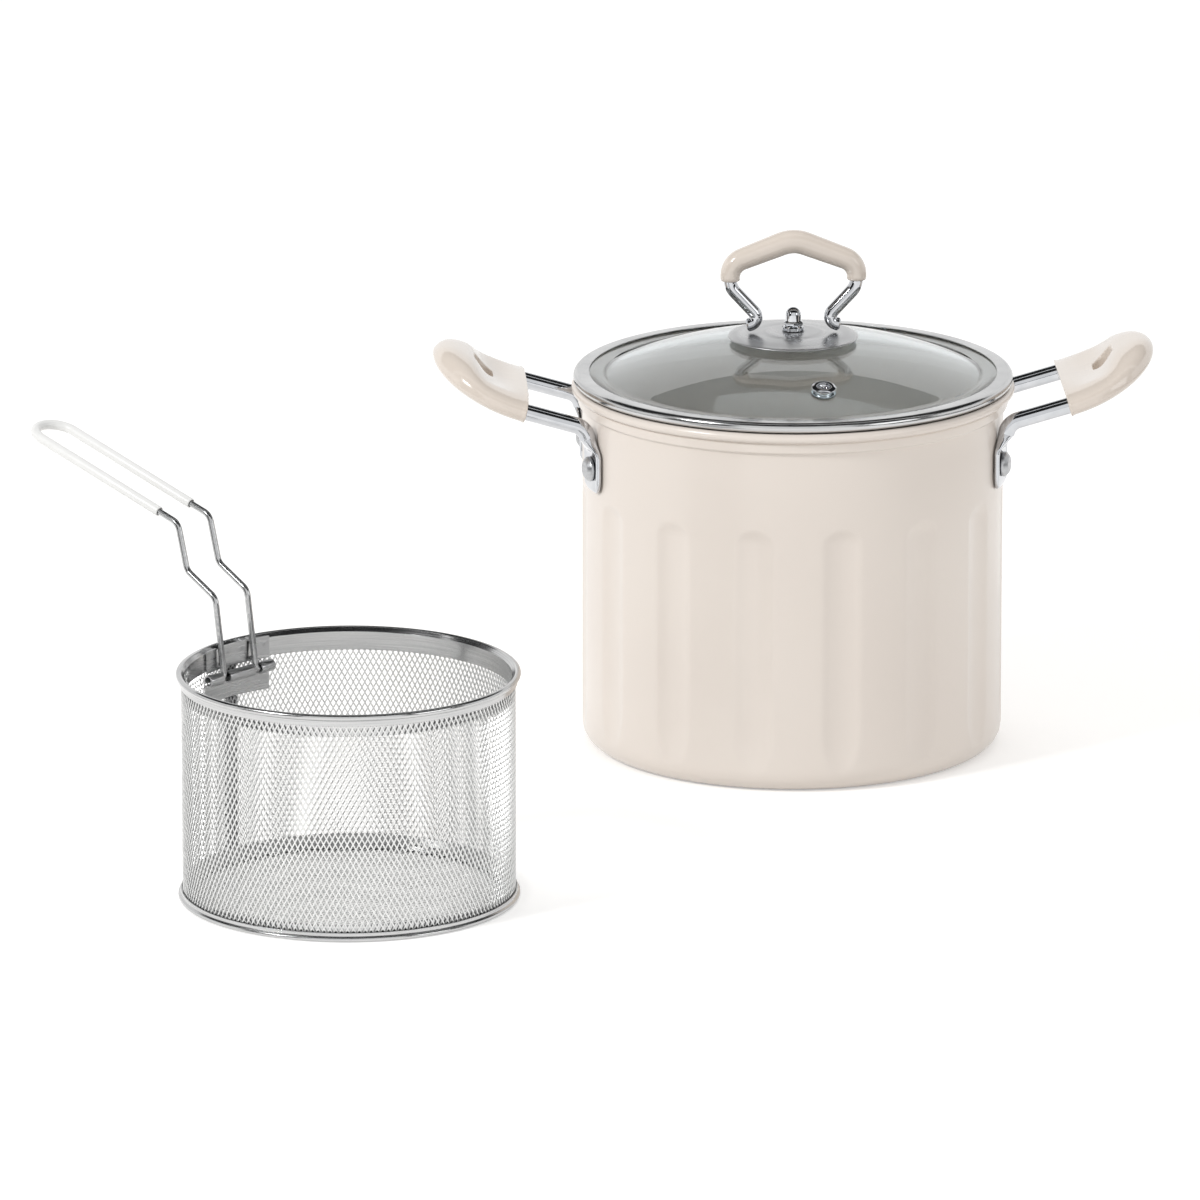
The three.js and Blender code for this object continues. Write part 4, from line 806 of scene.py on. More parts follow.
def rolled_net() -> ShapeTree:
    """Build the tree that rolls a field of net cells round the Z axis between two heights.

    Returns:
        The tree.
    """
    tree = ShapeTree("rolled net", ["Pitch", "Rise", "Radius", "Low", "High"], NET_INPUTS)
    real = tree.node("GeometryNodeRealizeInstances", {"Geometry": cell_field(tree)})
    _, along, up, out = tree.position()
    angle = tree.node(MATH, along, tree["Radius"], operation="DIVIDE")
    reach = tree.node(MATH, out, tree["Radius"], operation="ADD")
    cosine = tree.node(MATH, angle, operation="COSINE")
    sine = tree.node(MATH, angle, operation="SINE")
    x = tree.node(MATH, cosine, reach, operation="MULTIPLY")
    y = tree.node(MATH, sine, reach, operation="MULTIPLY")
    twice_middle = tree.node(MATH, tree["High"], tree["Low"], operation="ADD")
    raised = tree.node(MATH, twice_middle, 0.5, up, operation="MULTIPLY_ADD")
    held = tree.node("ShaderNodeClamp", raised, tree["Low"], tree["High"])
    wrapped = tree.node("ShaderNodeCombineXYZ", x, y, held)
    return merged_net(tree, real, wrapped)


def disc_net() -> ShapeTree:
    """Build the tree that lays a field of net cells flat and keeps it inside a circle.

    Returns:
        The tree.
    """
    tree = ShapeTree("disc net", ["Pitch", "Rise", "Keep radius", "Radius", "Height", "Turn"],
                     NET_INPUTS)
    cells = cell_field(tree)
    points = cells.inputs["Points"].links[0].from_socket
    place, x, y, z = tree.position()
    distance = tree.node(VECTOR_MATH, place, operation="LENGTH")
    outside = tree.node(MATH, distance.outputs["Value"], tree["Keep radius"],
                        operation="GREATER_THAN")
    kept = tree.node("GeometryNodeDeleteGeometry", {"Geometry": points, "Selection": outside},
                     domain="POINT")
    tree.group.links.new(kept.outputs[0], cells.inputs["Points"])
    real = tree.node("GeometryNodeRealizeInstances", {"Geometry": cells})
    flat = tree.node("ShaderNodeCombineXYZ", x, y)
    reach = tree.node(VECTOR_MATH, flat, operation="LENGTH")
    limit = tree.node(MATH, tree["Radius"], reach.outputs["Value"], operation="DIVIDE")
    share = tree.node(MATH, limit, 1.0, operation="MINIMUM")
    drawn = tree.node(VECTOR_MATH, {0: flat, "Scale": share}, operation="SCALE")
    level = tree.node(MATH, z, tree["Height"], operation="ADD")
    lift = tree.node("ShaderNodeCombineXYZ", {2: level})
    raised = tree.node(VECTOR_MATH, drawn, lift, operation="ADD")
    spun = tree.node("ShaderNodeVectorRotate", {"Vector": raised, "Angle": tree["Turn"]})
    return merged_net(tree, real, spun)


def scattered(name: str, places: Sequence[Vector]) -> Object:
    """Make an object that holds only points.

    Args:
        name: The new object's name.
        places: Its points.

    Returns:
        The new object.
    """
    mesh = bpy.data.meshes.new(name)
    mesh.from_pydata([tuple(place) for place in places], [], [])
    return placed(name, mesh)


def studded(name: str, stud: Object, places: Sequence[Vector], finish: Finish,
            facing: float = 1.0) -> Object:
    """Set copies of a stud at places round the Z axis.

    Args:
        name: The new object's name.
        stud: The stud, along +X; it is removed.
        places: Where the copies go.
        finish: Their finish.
        facing: 1 to face away from the axis, -1 to face it.

    Returns:
        The new object.
    """
    piece = stud_ring().shape(scattered(name, places), {
        "Stud": stud, "Facing": facing, "Finish": finish.material()})
    bpy.data.objects.remove(stud)
    piece.data.set_sharp_from_angle(angle=SHARP_ANGLE)
    return piece


def enlist(piece: Object, body: Body, finish: Finish, *nodes: str) -> None:
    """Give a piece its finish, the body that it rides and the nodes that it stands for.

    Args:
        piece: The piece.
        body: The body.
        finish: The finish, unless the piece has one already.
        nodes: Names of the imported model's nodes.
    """
    if not piece.data.materials:
        piece.data.materials.append(finish.material())
    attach(piece, body.value)
    if nodes:
        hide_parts(*nodes)
    faces = len(piece.data.polygons)
    LOG.info("%s: %d faces, %s, rides on %s", piece.name, faces, finish.name, body.value)


# Pot


@dataclass
class PotBody:
    """The fluted enamel pot, with a rolled rim over a stepped neck."""

    inner_radius: float = 0.100
    wall: float = 0.0015
    corner_radius: float = 0.010
    bead_radius: float = 0.0022
    neck_flare: float = 0.0020
    neck_low: float = 0.1672
    neck_high: float = 0.1724
    neck_step: float = 0.0003
    foot_recess: float = 0.0004
    foot_radius: float = 0.086
    flutes: int = 15
    flute_width: float = 0.0185
    flute_depth: float = 0.0018
    flute_top: float = 0.129
    flute_foot: float = 0.009
    flute_end: float = 0.007
    flute_fade: float = 0.020
    flute_edge: float = 0.3
    flute_azimuth: float = -80.0
    columns_per_flute: int = 38
    rows: int = 24
    fine_rows: int = 12

    @property
    def outer_radius(self) -> float:
        """Radius of the outside of the straight wall."""
        return self.inner_radius + self.wall

    @property
    def height(self) -> float:
        """Height of the rim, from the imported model."""
        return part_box("pot_shell")[1].z

    def outline(self) -> Outline:
        """Draw the wall's section, from the middle of the underside round to the floor.

        Returns:
            The closed section's radii and heights.
        """
        rim_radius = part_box("pot_shell")[1].x
        bead_centre = (rim_radius - self.bead_radius, self.height - self.bead_radius)
        outer, inner, edge = self.outer_radius, self.inner_radius, self.bead_radius / 2
        low, high = self.corner_radius, self.neck_low - 2 * self.bead_radius
        climb = [low + (high - low) * i / self.rows for i in range(1, self.rows)]
        fine = range(1, self.fine_rows + 1)
        climb += [low + self.flute_fade * i / self.fine_rows for i in fine]
        climb += [self.flute_top - self.flute_end * (2 - i / 5) for i in fine]
        climb.sort()
        foot = filleted([
            (0.0, self.foot_recess), (self.foot_radius, self.foot_recess, self.foot_recess),
            (self.foot_radius + self.wall, 0.0, self.foot_recess),
            (outer, 0.0, self.corner_radius), (outer, high),
        ], closed=False)
        neck = filleted([
            (outer, climb[-1]), (outer, self.neck_low, edge),
            (outer + self.neck_flare, self.neck_low + self.neck_flare / 2, edge),
            (outer + self.neck_flare + self.neck_step, self.neck_high, edge / 2),
            (outer + self.neck_flare - self.neck_step, self.neck_high + self.wall / 2, edge / 3),
            (bead_centre[0], bead_centre[1] - self.bead_radius),
        ], closed=False)
        bead = arc(bead_centre, self.bead_radius, -70.0, 180.0, 16)
        inside = filleted([
            bead[-1],
            (inner + self.wall / 2, self.neck_high, self.bead_radius),
            (inner, self.neck_low + self.wall, self.bead_radius),
            (inner, self.wall, self.corner_radius - self.wall), (0.0, self.wall),
        ], closed=False)
        cut = len(inside) - FILLET_STEPS - 2
        falls = [(inner, height) for height in reversed(climb)]
        rises = [(outer, height) for height in climb]
        return foot[:-1] + rises + neck[1:-1] + bead + inside[1:cut] + falls + inside[cut:]

    def build(self) -> None:
        """Turn the wall, press its flutes and dress it."""
        steps = self.flutes * self.columns_per_flute
        blank = turned("pot_body", self.outline(), steps)
        body = flute_press().shape(blank, {
            "Flutes": float(self.flutes), "First angle": radians(self.flute_azimuth),
            "Wall radius": self.outer_radius, "Half width": self.flute_width / 2,
            "Depth": self.flute_depth, "Low": self.flute_foot + self.flute_fade,
            "High": self.flute_top - self.flute_end, "End length": self.flute_end,
            "Fade length": self.flute_fade, "Edge softness": self.flute_edge,
            "Finish": ENAMEL.material()})
        enlist(body, Body.POT, ENAMEL, "pot_shell")


@dataclass
class SideHandle:
    """A bent rod loop riveted to the pot, with a scooped grip moulded over its end."""

    pot: PotBody
    rod_radius: float = 0.004
    leg_spacing: float = 0.066
    foot_height: float = 0.132
    tab_width: float = 0.018
    tab_thickness: float = 0.003
    tab_dish: float = 0.0005
    tab_end: float = 0.1505
    bend_height: float = 0.158
    bend_radius: float = 0.008
    arm_angle: float = 16.0
    arm_length: float = 0.025
    loop_corner: float = 0.022
    grip_length: float = 0.0489
    grip_side_wall: float = 0.005
    grip_cover: float = 0.0017
    grip_end_wall: float = 0.009
    grip_curl: float = 26.0
    grip_scoop: float = 0.0026
    grip_crown: float = 0.0014
    grip_hump: float = 0.0026
    lip_length: float = 0.0016
    lip_rise: float = 0.0004
    hole_length: float = 0.009
    hole_width: float = 0.015
    hole_from_root: float = 0.0205
    remesh_size: float = 0.0006
    foot_oval: float = 2.6
    grip_oval: float = 2.4
    end_oval: float = 8.0
    tab_square: float = 0.45
    grip_square: float = 0.62
    dish_edge: Pair = (0.68, 0.86)

    @property
    def wall_radius(self) -> float:
        """Radius that the feet lie against."""
        return self.pot.outer_radius + FIT_GAP

    @property
    def lean(self) -> float:
        """How far round from the X axis each foot stands, in radians."""
        return asin(self.leg_spacing / 2 / (self.wall_radius + self.rod_radius))

    def grip_place(self, along: float) -> Triple:
        """Follow the grip's middle line.

        Args:
            along: A length from the grip's root.

        Returns:
            The line's reach, height and slope there.
        """
        rise, curl = radians(self.arm_angle), radians(self.grip_curl) / self.grip_length
        leg = (self.wall_radius + self.rod_radius) * cos(self.lean)
        root_x = leg + self.bend_radius * (1 - sin(rise)) + self.arm_length * cos(rise)
        root_z = self.bend_height + self.bend_radius * cos(rise) + self.arm_length * sin(rise)
        slope = rise + curl * max(0.0, along)
        x = root_x + (sin(slope) - sin(rise)) / curl + min(0.0, along) * cos(rise)
        z = root_z - (cos(slope) - cos(rise)) / curl + min(0.0, along) * sin(rise)
        return x, z, slope

    def on_grip(self, along: float, across: float, above: float = 0.0) -> Vector:
        """Place a point by its length along the grip, across it and above its middle line."""
        x, z, slope = self.grip_place(along)
        return Vector((x - above * sin(slope), across, z + above * cos(slope)))

    def foot_rings(self) -> list[Ring]:
        """Make the rings of the front foot, from its round end up to the bend.

        Returns:
            The rings.
        """
        out = polar(1.0, -self.lean)
        aside = UP.cross(out)
        half, thin = self.tab_width / 2, self.tab_thickness / 2
        rises = [half * (1 - cos(radians(a))) for a in range(15, 90, 10)]
        rises += [half, 1.5 * half, self.tab_end - self.foot_height]
        rises += [self.bend_height - self.foot_height - half * i / 12 for i in range(9, -1, -1)]
        rings = []
        for rise in sorted(rises):
            end = max(0.0, 1 - rise / half)
            round_share = smooth_share(
                self.foot_height + rise, self.tab_end, self.bend_height + self.rod_radius / 2)
            wide = half * (1 - end**self.foot_oval) ** (1 / self.foot_oval)
            wide += (self.rod_radius - wide) * round_share
            thick = thin * (1 - end**self.end_oval) + (self.rod_radius - thin) * round_share
            power = self.tab_square + (1 - self.tab_square) * round_share
            centre = out * (self.wall_radius + thick) + UP * (self.foot_height + rise)
            ring = self.oval_ring(centre, aside, out, wide, thick, power)
            dish = self.tab_dish * (1 - round_share) * smooth_share(rise, 0.1 * half, 0.35 * half)
            for point in ring:
                if (point - centre).dot(out) > 0:
                    share = abs((point - centre).dot(aside)) / half
                    point -= out * dish * (1 - smooth_share(share, *self.dish_edge))
            rings.append(ring)
        return rings

    def oval_ring(self, centre: Vector, across: Vector, up: Vector, wide: float, high: float,
                  power: float = 1.0, sides: int = 2 * WIRE_SIDES) -> Ring:
        """Draw a squared oval round a bar's middle line.

        Args:
            centre: The oval's middle.
            across: The way that its width runs.
            up: The way that its height runs.
            wide: Half its width.
            high: Half its height.
            power: 1 for a plain oval, and less for a squarer one.
            sides: How many points it has.

        Returns:
            The oval's points.
        """
        ring = []
        for i in range(sides):
            angle = tau * i / sides
            ring.append(centre + across * wide * superoval(cos(angle), power)
                        + up * high * superoval(sin(angle), power))
        return ring

    def rod_rings(self, swell: float = 0.0, from_grip: bool = False) -> list[Ring]:
        """Make the rings of the whole rod, foot to foot.

        Args:
            swell: How much thicker than the rod they are.
            from_grip: Whether they start just outside the grip, for its socket.

        Returns:
            The rings.
        """
        radius = self.rod_radius + swell
        rise = radians(self.arm_angle)
        leg = polar(self.wall_radius + self.rod_radius, -self.lean, self.bend_height)
        front: list[Ring] = []
        if not from_grip:
            front += self.foot_rings()
            for step in range(1, BEND_STEPS + 1):
                angle = (pi / 2 - rise) * step / BEND_STEPS
                inward = Vector((cos(angle), 0.0, -sin(angle)))
                tangent = Vector((sin(angle), 0.0, cos(angle)))
                centre = leg + Vector((self.bend_radius, 0.0, 0.0)) - inward * self.bend_radius
                front.append(self.oval_ring(centre, tangent.cross(inward), inward, radius, radius))
        loop_end = self.grip_length - self.grip_end_wall - self.rod_radius
        corner = loop_end - self.loop_corner
        start = -4 * self.rod_radius if from_grip else -FIT_GAP
        arms = [(start + (corner - start) * i / 8, leg.y, 0.0) for i in range(8)]
        for step in range(BEND_STEPS + 1):
            angle = pi / 2 * step / BEND_STEPS
            arms.append((corner + self.loop_corner * sin(angle),
                         leg.y + self.loop_corner * (1 - cos(angle)), angle))
        for along, across, angle in arms:
            slope = self.grip_place(along)[2]
            ahead = Vector((cos(slope), 0.0, sin(slope)))
            tangent = ahead * cos(angle) + Vector((0.0, sin(angle), 0.0))
            inward = Vector((sin(slope), 0.0, -cos(slope)))
            centre = self.on_grip(along, across)
            front.append(self.oval_ring(centre, tangent.cross(inward), inward, radius, radius))
        rear = [[Vector((p.x, -p.y, p.z)) for p in ring] for ring in reversed(front)]
        return front + rear

    def grip_rings(self, steps: int = 40, sides: int = 72) -> list[Ring]:
        """Make the grip's rings, from its lipped root to its rounded tip.

        Args:
            steps: How many rings it has along its length, apart from the lip's.
            sides: How many points each ring has.

        Returns:
            The rings.
        """
        root_half = self.leg_spacing / 2 + self.rod_radius + self.grip_side_wall
        half = self.rod_radius + FIT_GAP + self.grip_cover
        scoop_half = self.leg_spacing / 2 - self.rod_radius
        shares = [0.0, self.lip_length / self.grip_length / 2, self.lip_length / self.grip_length]
        shares += [sin(pi / 2 * i / steps) for i in range(2, steps)]
        rings = []
        for share in sorted(shares):
            lip = self.lip_rise if share * self.grip_length < self.lip_length else 0.0
            end = sqrt(1 - share**self.end_oval)
            wide = root_half * sqrt(1 - share**self.grip_oval) + lip
            high = half * end + lip
            along = self.grip_length * share
            fade = sin(pi * min(1.0, along / (1.6 * self.hole_from_root))) ** 2
            swell = smooth_share(along, self.hole_from_root, self.hole_from_root + self.hole_width)
            crown = self.grip_crown * end + self.grip_hump * swell * sqrt(1 - share**4)
            ring = []
            for i in range(sides):
                angle = tau * i / sides
                across = wide * superoval(cos(angle), self.grip_square)
                rise = superoval(sin(angle), self.grip_square)
                above = high * rise + crown * max(0.0, rise) ** 2
                dish = max(0.0, 1 - (across / scoop_half) ** 2) if above > 0 else 0.0
                ring.append(self.on_grip(along, across, above - self.grip_scoop * dish * fade))
            rings.append(ring)
        return rings

    def hole_cutter(self) -> Object:
        """Make the upright bar that cuts the hang hole.

        Returns:
            The bar.
        """
        narrow, wide = self.hole_length / 2, self.hole_width / 2
        x, z, _ = self.grip_place(self.hole_from_root)
        outline = arc((x, wide - narrow), narrow, 0.0, 180.0)
        outline += arc((x, narrow - wide), narrow, 180.0, 360.0)
        reach = 4 * self.rod_radius
        rings = [[Vector((px, py, z + end * reach)) for px, py in outline] for end in (-1, 1)]
        return skinned("hang_hole_cutter", rings)

    def grip(self, name: str) -> Object:
        """Make the grip: lofted, cut for the rod and the hang hole, and softened like a moulding.

        Args:
            name: The new object's name.

        Returns:
            The grip.
        """
        piece = skinned(name, self.grip_rings())
        socket = skinned("socket_cutter", self.rod_rings(FIT_GAP, from_grip=True))
        cut_away(piece, socket, self.hole_cutter())
        remesh = piece.modifiers.new("even skin", "REMESH")
        remesh.mode, remesh.voxel_size, remesh.use_smooth_shade = "VOXEL", self.remesh_size, True
        soften = piece.modifiers.new("soften", "SMOOTH")
        soften.factor, soften.iterations = 0.5, 4
        applied(piece).data.shade_smooth()
        return piece

    def build(self, side: Side) -> None:
        """Make one handle and dress it.

        Args:
            side: The side of the pot that it is on.
        """
        name, about = side.name.lower(), Matrix.Rotation(side.value, 4, "Z")
        rod = skinned(f"{name}_handle_rod", self.rod_rings())
        grip = self.grip(f"{name}_handle_grip_skin")
        for piece in (rod, grip):
            piece.data.transform(about)
        enlist(rod, Body.POT, CHROME, f"{name}_handle_frame")
        enlist(grip, Body.POT, GRIP, f"{name}_handle_grip")


@dataclass
class SideRivets:
    """The four rivets that hold the side handles' feet to the wall."""

    handle: SideHandle
    height: float = 0.144
    shank_radius: float = 0.0025
    head_radius: float = 0.006
    head_rise: float = 0.003
    head_flat: float = 0.0038
    shoulder: float = 0.0012
    inner_radius: float = 0.005
    inner_thickness: float = 0.0012

    def stud(self) -> Object:
        """Turn one rivet and lay it along +X, from the axis of the pot.

        Returns:
            The rivet.
        """
        pot = self.handle.pot
        inner = pot.inner_radius - 2 * FIT_GAP
        outer = pot.outer_radius + self.handle.tab_thickness - self.handle.tab_dish + 2 * FIT_GAP
        edge = self.inner_thickness / 3
        outline = filleted([
            (0.0, inner - self.inner_thickness),
            (self.inner_radius, inner - self.inner_thickness, edge),
            (self.inner_radius, inner, edge), (self.shank_radius, inner),
            (self.shank_radius, outer), (self.head_radius, outer, edge / 2),
            (self.head_radius, outer + self.shoulder, self.shoulder),
            (self.head_flat, outer + self.head_rise, self.shoulder),
            (0.0, outer + self.head_rise),
        ], closed=False)
        stud = turned("rivet_blank", outline, SMALL_ROUND_STEPS)
        stud.data.transform(Matrix.Rotation(pi / 2, 4, "Y"))
        return stud

    def build(self) -> None:
        """Set the four rivets; their blanks reach out from the axis, so the points lie on it."""
        lean = self.handle.lean
        places = [polar(FIT_GAP / 100, side.value + way * lean, self.height)
                  for side in Side for way in (-1, 1)]
        rivets = studded("handle_rivets", self.stud(), places, ALUMINIUM)
        enlist(rivets, Body.POT, ALUMINIUM, "left_front_rivet", "left_rear_rivet",
               "right_front_rivet", "right_rear_rivet")


# Lid


@dataclass
class GlassLid:
    """The domed glass with its folded steel rim and its steam vent."""

    seat: float = 0.1783
    thickness: float = 0.0035
    dome_rise: float = 0.0174
    ledge: float = 0.013
    steel: float = 0.0005
    bead: float = 0.0018
    lip: float = 0.006
    flange_play: float = 0.0008
    bolt_radius: float = 0.0024
    vent_distance: float = 0.067
    vent_azimuth: float = -81.0
    vent_bore: float = 0.0022
    vent_wall: float = 0.0018
    vent_flange: float = 0.0059
    vent_rise: float = 0.0012
    vent_spokes: int = 4
    spoke_half: float = 0.0004
    spoke_depth: float = 0.0005
    spoke_rise: float = 0.0001
    spoke_edge: float = 0.0002

    @property
    def rim_radius(self) -> float:
        """Radius of the steel rim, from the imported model."""
        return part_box("lid_rim_band")[1].x

    @property
    def edge_radius(self) -> float:
        """Radius of the glass's edge."""
        return self.rim_radius - self.bead - FIT_GAP

    @property
    def edge_bottom(self) -> float:
        """Height of the underside of the glass's edge."""
        return self.seat + self.steel + FIT_GAP

    @property
    def apex(self) -> float:
        """Height of the top of the dome."""
        return self.edge_bottom + self.thickness + self.dome_rise

    @property
    def sphere(self) -> float:
        """Radius of the sphere that the dome is part of."""
        return ((self.edge_radius - self.ledge) ** 2 + self.dome_rise**2) / (2 * self.dome_rise)

    def height(self, radius: float, depth: float = 0.0) -> float:
        """Height of the dome at a radius, or of a face a depth below it."""
        return self.apex - self.sphere + sqrt((self.sphere - depth) ** 2 - radius**2)

    def dome(self) -> Object:
        """Turn the glass and drill its vent hole.

        Returns:
            The glass.
        """
        bore, flat, steps = self.bolt_radius + FIT_GAP, self.edge_radius - self.ledge, 26
        radii = [bore + (flat - bore) * i / steps for i in range(steps)]
        edge, top = self.thickness * 0.45, self.edge_bottom + self.thickness
        ledge = filleted([
            (radii[-1], self.height(radii[-1])), (flat, self.height(flat), 2 * self.thickness),
            (self.edge_radius, top, edge), (self.edge_radius, self.edge_bottom, edge),
            (flat, self.height(flat, self.thickness), 2 * self.thickness),
            (radii[-1], self.height(radii[-1], self.thickness)),
        ], closed=False)
        outline = [(r, self.height(r)) for r in radii] + ledge[1:-1]
        outline += [(r, self.height(r, self.thickness)) for r in reversed(radii)]
        glass = turned("lid_dome_glass", outline)
        hole, reach = self.vent_bore + self.vent_wall + FIT_GAP, self.dome_rise
        drill = turned("vent_drill", [(0.0, -reach), (hole, -reach), (hole, reach), (0.0, reach)],
                       SMALL_ROUND_STEPS)
        drill.data.transform(self.vent_place() @ Matrix.Translation(UP * self.sphere))
        cut_away(glass, drill)
        glass.data.shade_smooth()
        glass.data.set_sharp_from_angle(angle=SHARP_ANGLE)
        return glass

    def vent_place(self) -> Matrix:
        """Find the vent's place.

        Returns:
            The move to it from over the middle of the dome's sphere.
        """
        lean = Matrix.Rotation(asin(self.vent_distance / self.sphere), 4, "Y")
        turn = Matrix.Rotation(radians(self.vent_azimuth), 4, "Z")
        return Matrix.Translation(UP * (self.apex - self.sphere)) @ turn @ lean

    def rim(self) -> Object:
        """Turn the folded steel rim with its locating flange.

        Returns:
            The rim.
        """
        pocket_top = self.edge_bottom + self.thickness + FIT_GAP
        top, pocket = pocket_top + self.steel, self.edge_radius + FIT_GAP
        flange_low, flange_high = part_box("lid_rim_band")[0].z, self.seat
        rim_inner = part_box("pot_shell")[1].x - 2 * PotBody.bead_radius
        flange, half = rim_inner - self.flange_play, (top - self.seat) / 2
        edge = self.steel * 0.45
        outline = arc((self.rim_radius - half, (self.seat + top) / 2), half, -90.0, 90.0, 14)
        outline += filleted([
            (pocket, top), (pocket - self.lip, top, edge), (pocket - self.lip, pocket_top, edge),
            (pocket, pocket_top, edge), (pocket, self.seat + self.steel, edge),
            (flange - self.steel, self.seat + self.steel, edge),
            (flange - self.steel, flange_low, edge), (flange, flange_low, edge),
            (flange, flange_high, edge), (pocket, flange_high),
        ], closed=False)[1:-1]
        return turned("lid_steel_rim", outline)

    def vent(self) -> Object:
        """Make the steam vent: a rolled grommet with a cross in its mouth.

        Returns:
            The vent.
        """
        outer, inner = self.sphere + FIT_GAP, self.sphere - self.thickness - FIT_GAP
        throat, rise = self.vent_bore + self.vent_wall, self.vent_rise
        mouth = self.vent_bore * 1.45
        ring = turned("vent_ring", filleted([
            (self.vent_bore, inner - rise, rise * 0.2),
            (self.vent_flange, inner - rise, rise * 0.4), (self.vent_flange, inner, rise * 0.3),
            (throat, inner), (throat, outer), (self.vent_flange, outer, rise * 0.2),
            (self.vent_flange, outer + rise / 2, rise * 0.4),
            (throat + rise / 2, outer + rise, rise * 0.6), (mouth, outer + rise, rise * 0.5),
            (mouth, outer + rise * 0.1, rise * 0.2), (self.vent_bore, outer - rise, rise * 0.2),
        ]), SMALL_ROUND_STEPS)
        hub_radius = self.vent_bore * 0.34
        hub = turned("vent_hub", filleted([
            (0.0, outer - rise * 0.8), (hub_radius, outer - rise * 0.8, rise * 0.15),
            (hub_radius, outer + rise * 0.5, rise * 0.25), (0.0, outer + rise * 0.5),
        ], closed=False), SMALL_ROUND_STEPS)
        half, low, high = self.spoke_half, -self.spoke_depth, self.spoke_rise
        corners = ((-half, low), (half, low), (half, high), (-half, high))
        section = filleted([(*corner, self.spoke_edge) for corner in corners])
        spoke = skinned("vent_spoke", [
            [Vector((x, y, z)) for y, z in section] for x in (-mouth / 2, mouth / 2)])
        places = [polar(mouth / 2, tau * (i + 0.5) / self.vent_spokes, outer)
                  for i in range(self.vent_spokes)]
        spokes = studded("vent_spokes", spoke, places, CHROME)
        vent = joined("steam_vent", [ring, hub, spokes])
        vent.data.transform(self.vent_place())
        return vent

    def build(self) -> None:
        """Make and dress the glass, its rim and its vent."""
        enlist(self.dome(), Body.LID, GLASS, "lid_glass")
        enlist(self.rim(), Body.LID, STEEL_BAND, "lid_rim_band")
        enlist(self.vent(), Body.LID, CHROME, "steam_vent_grommet")


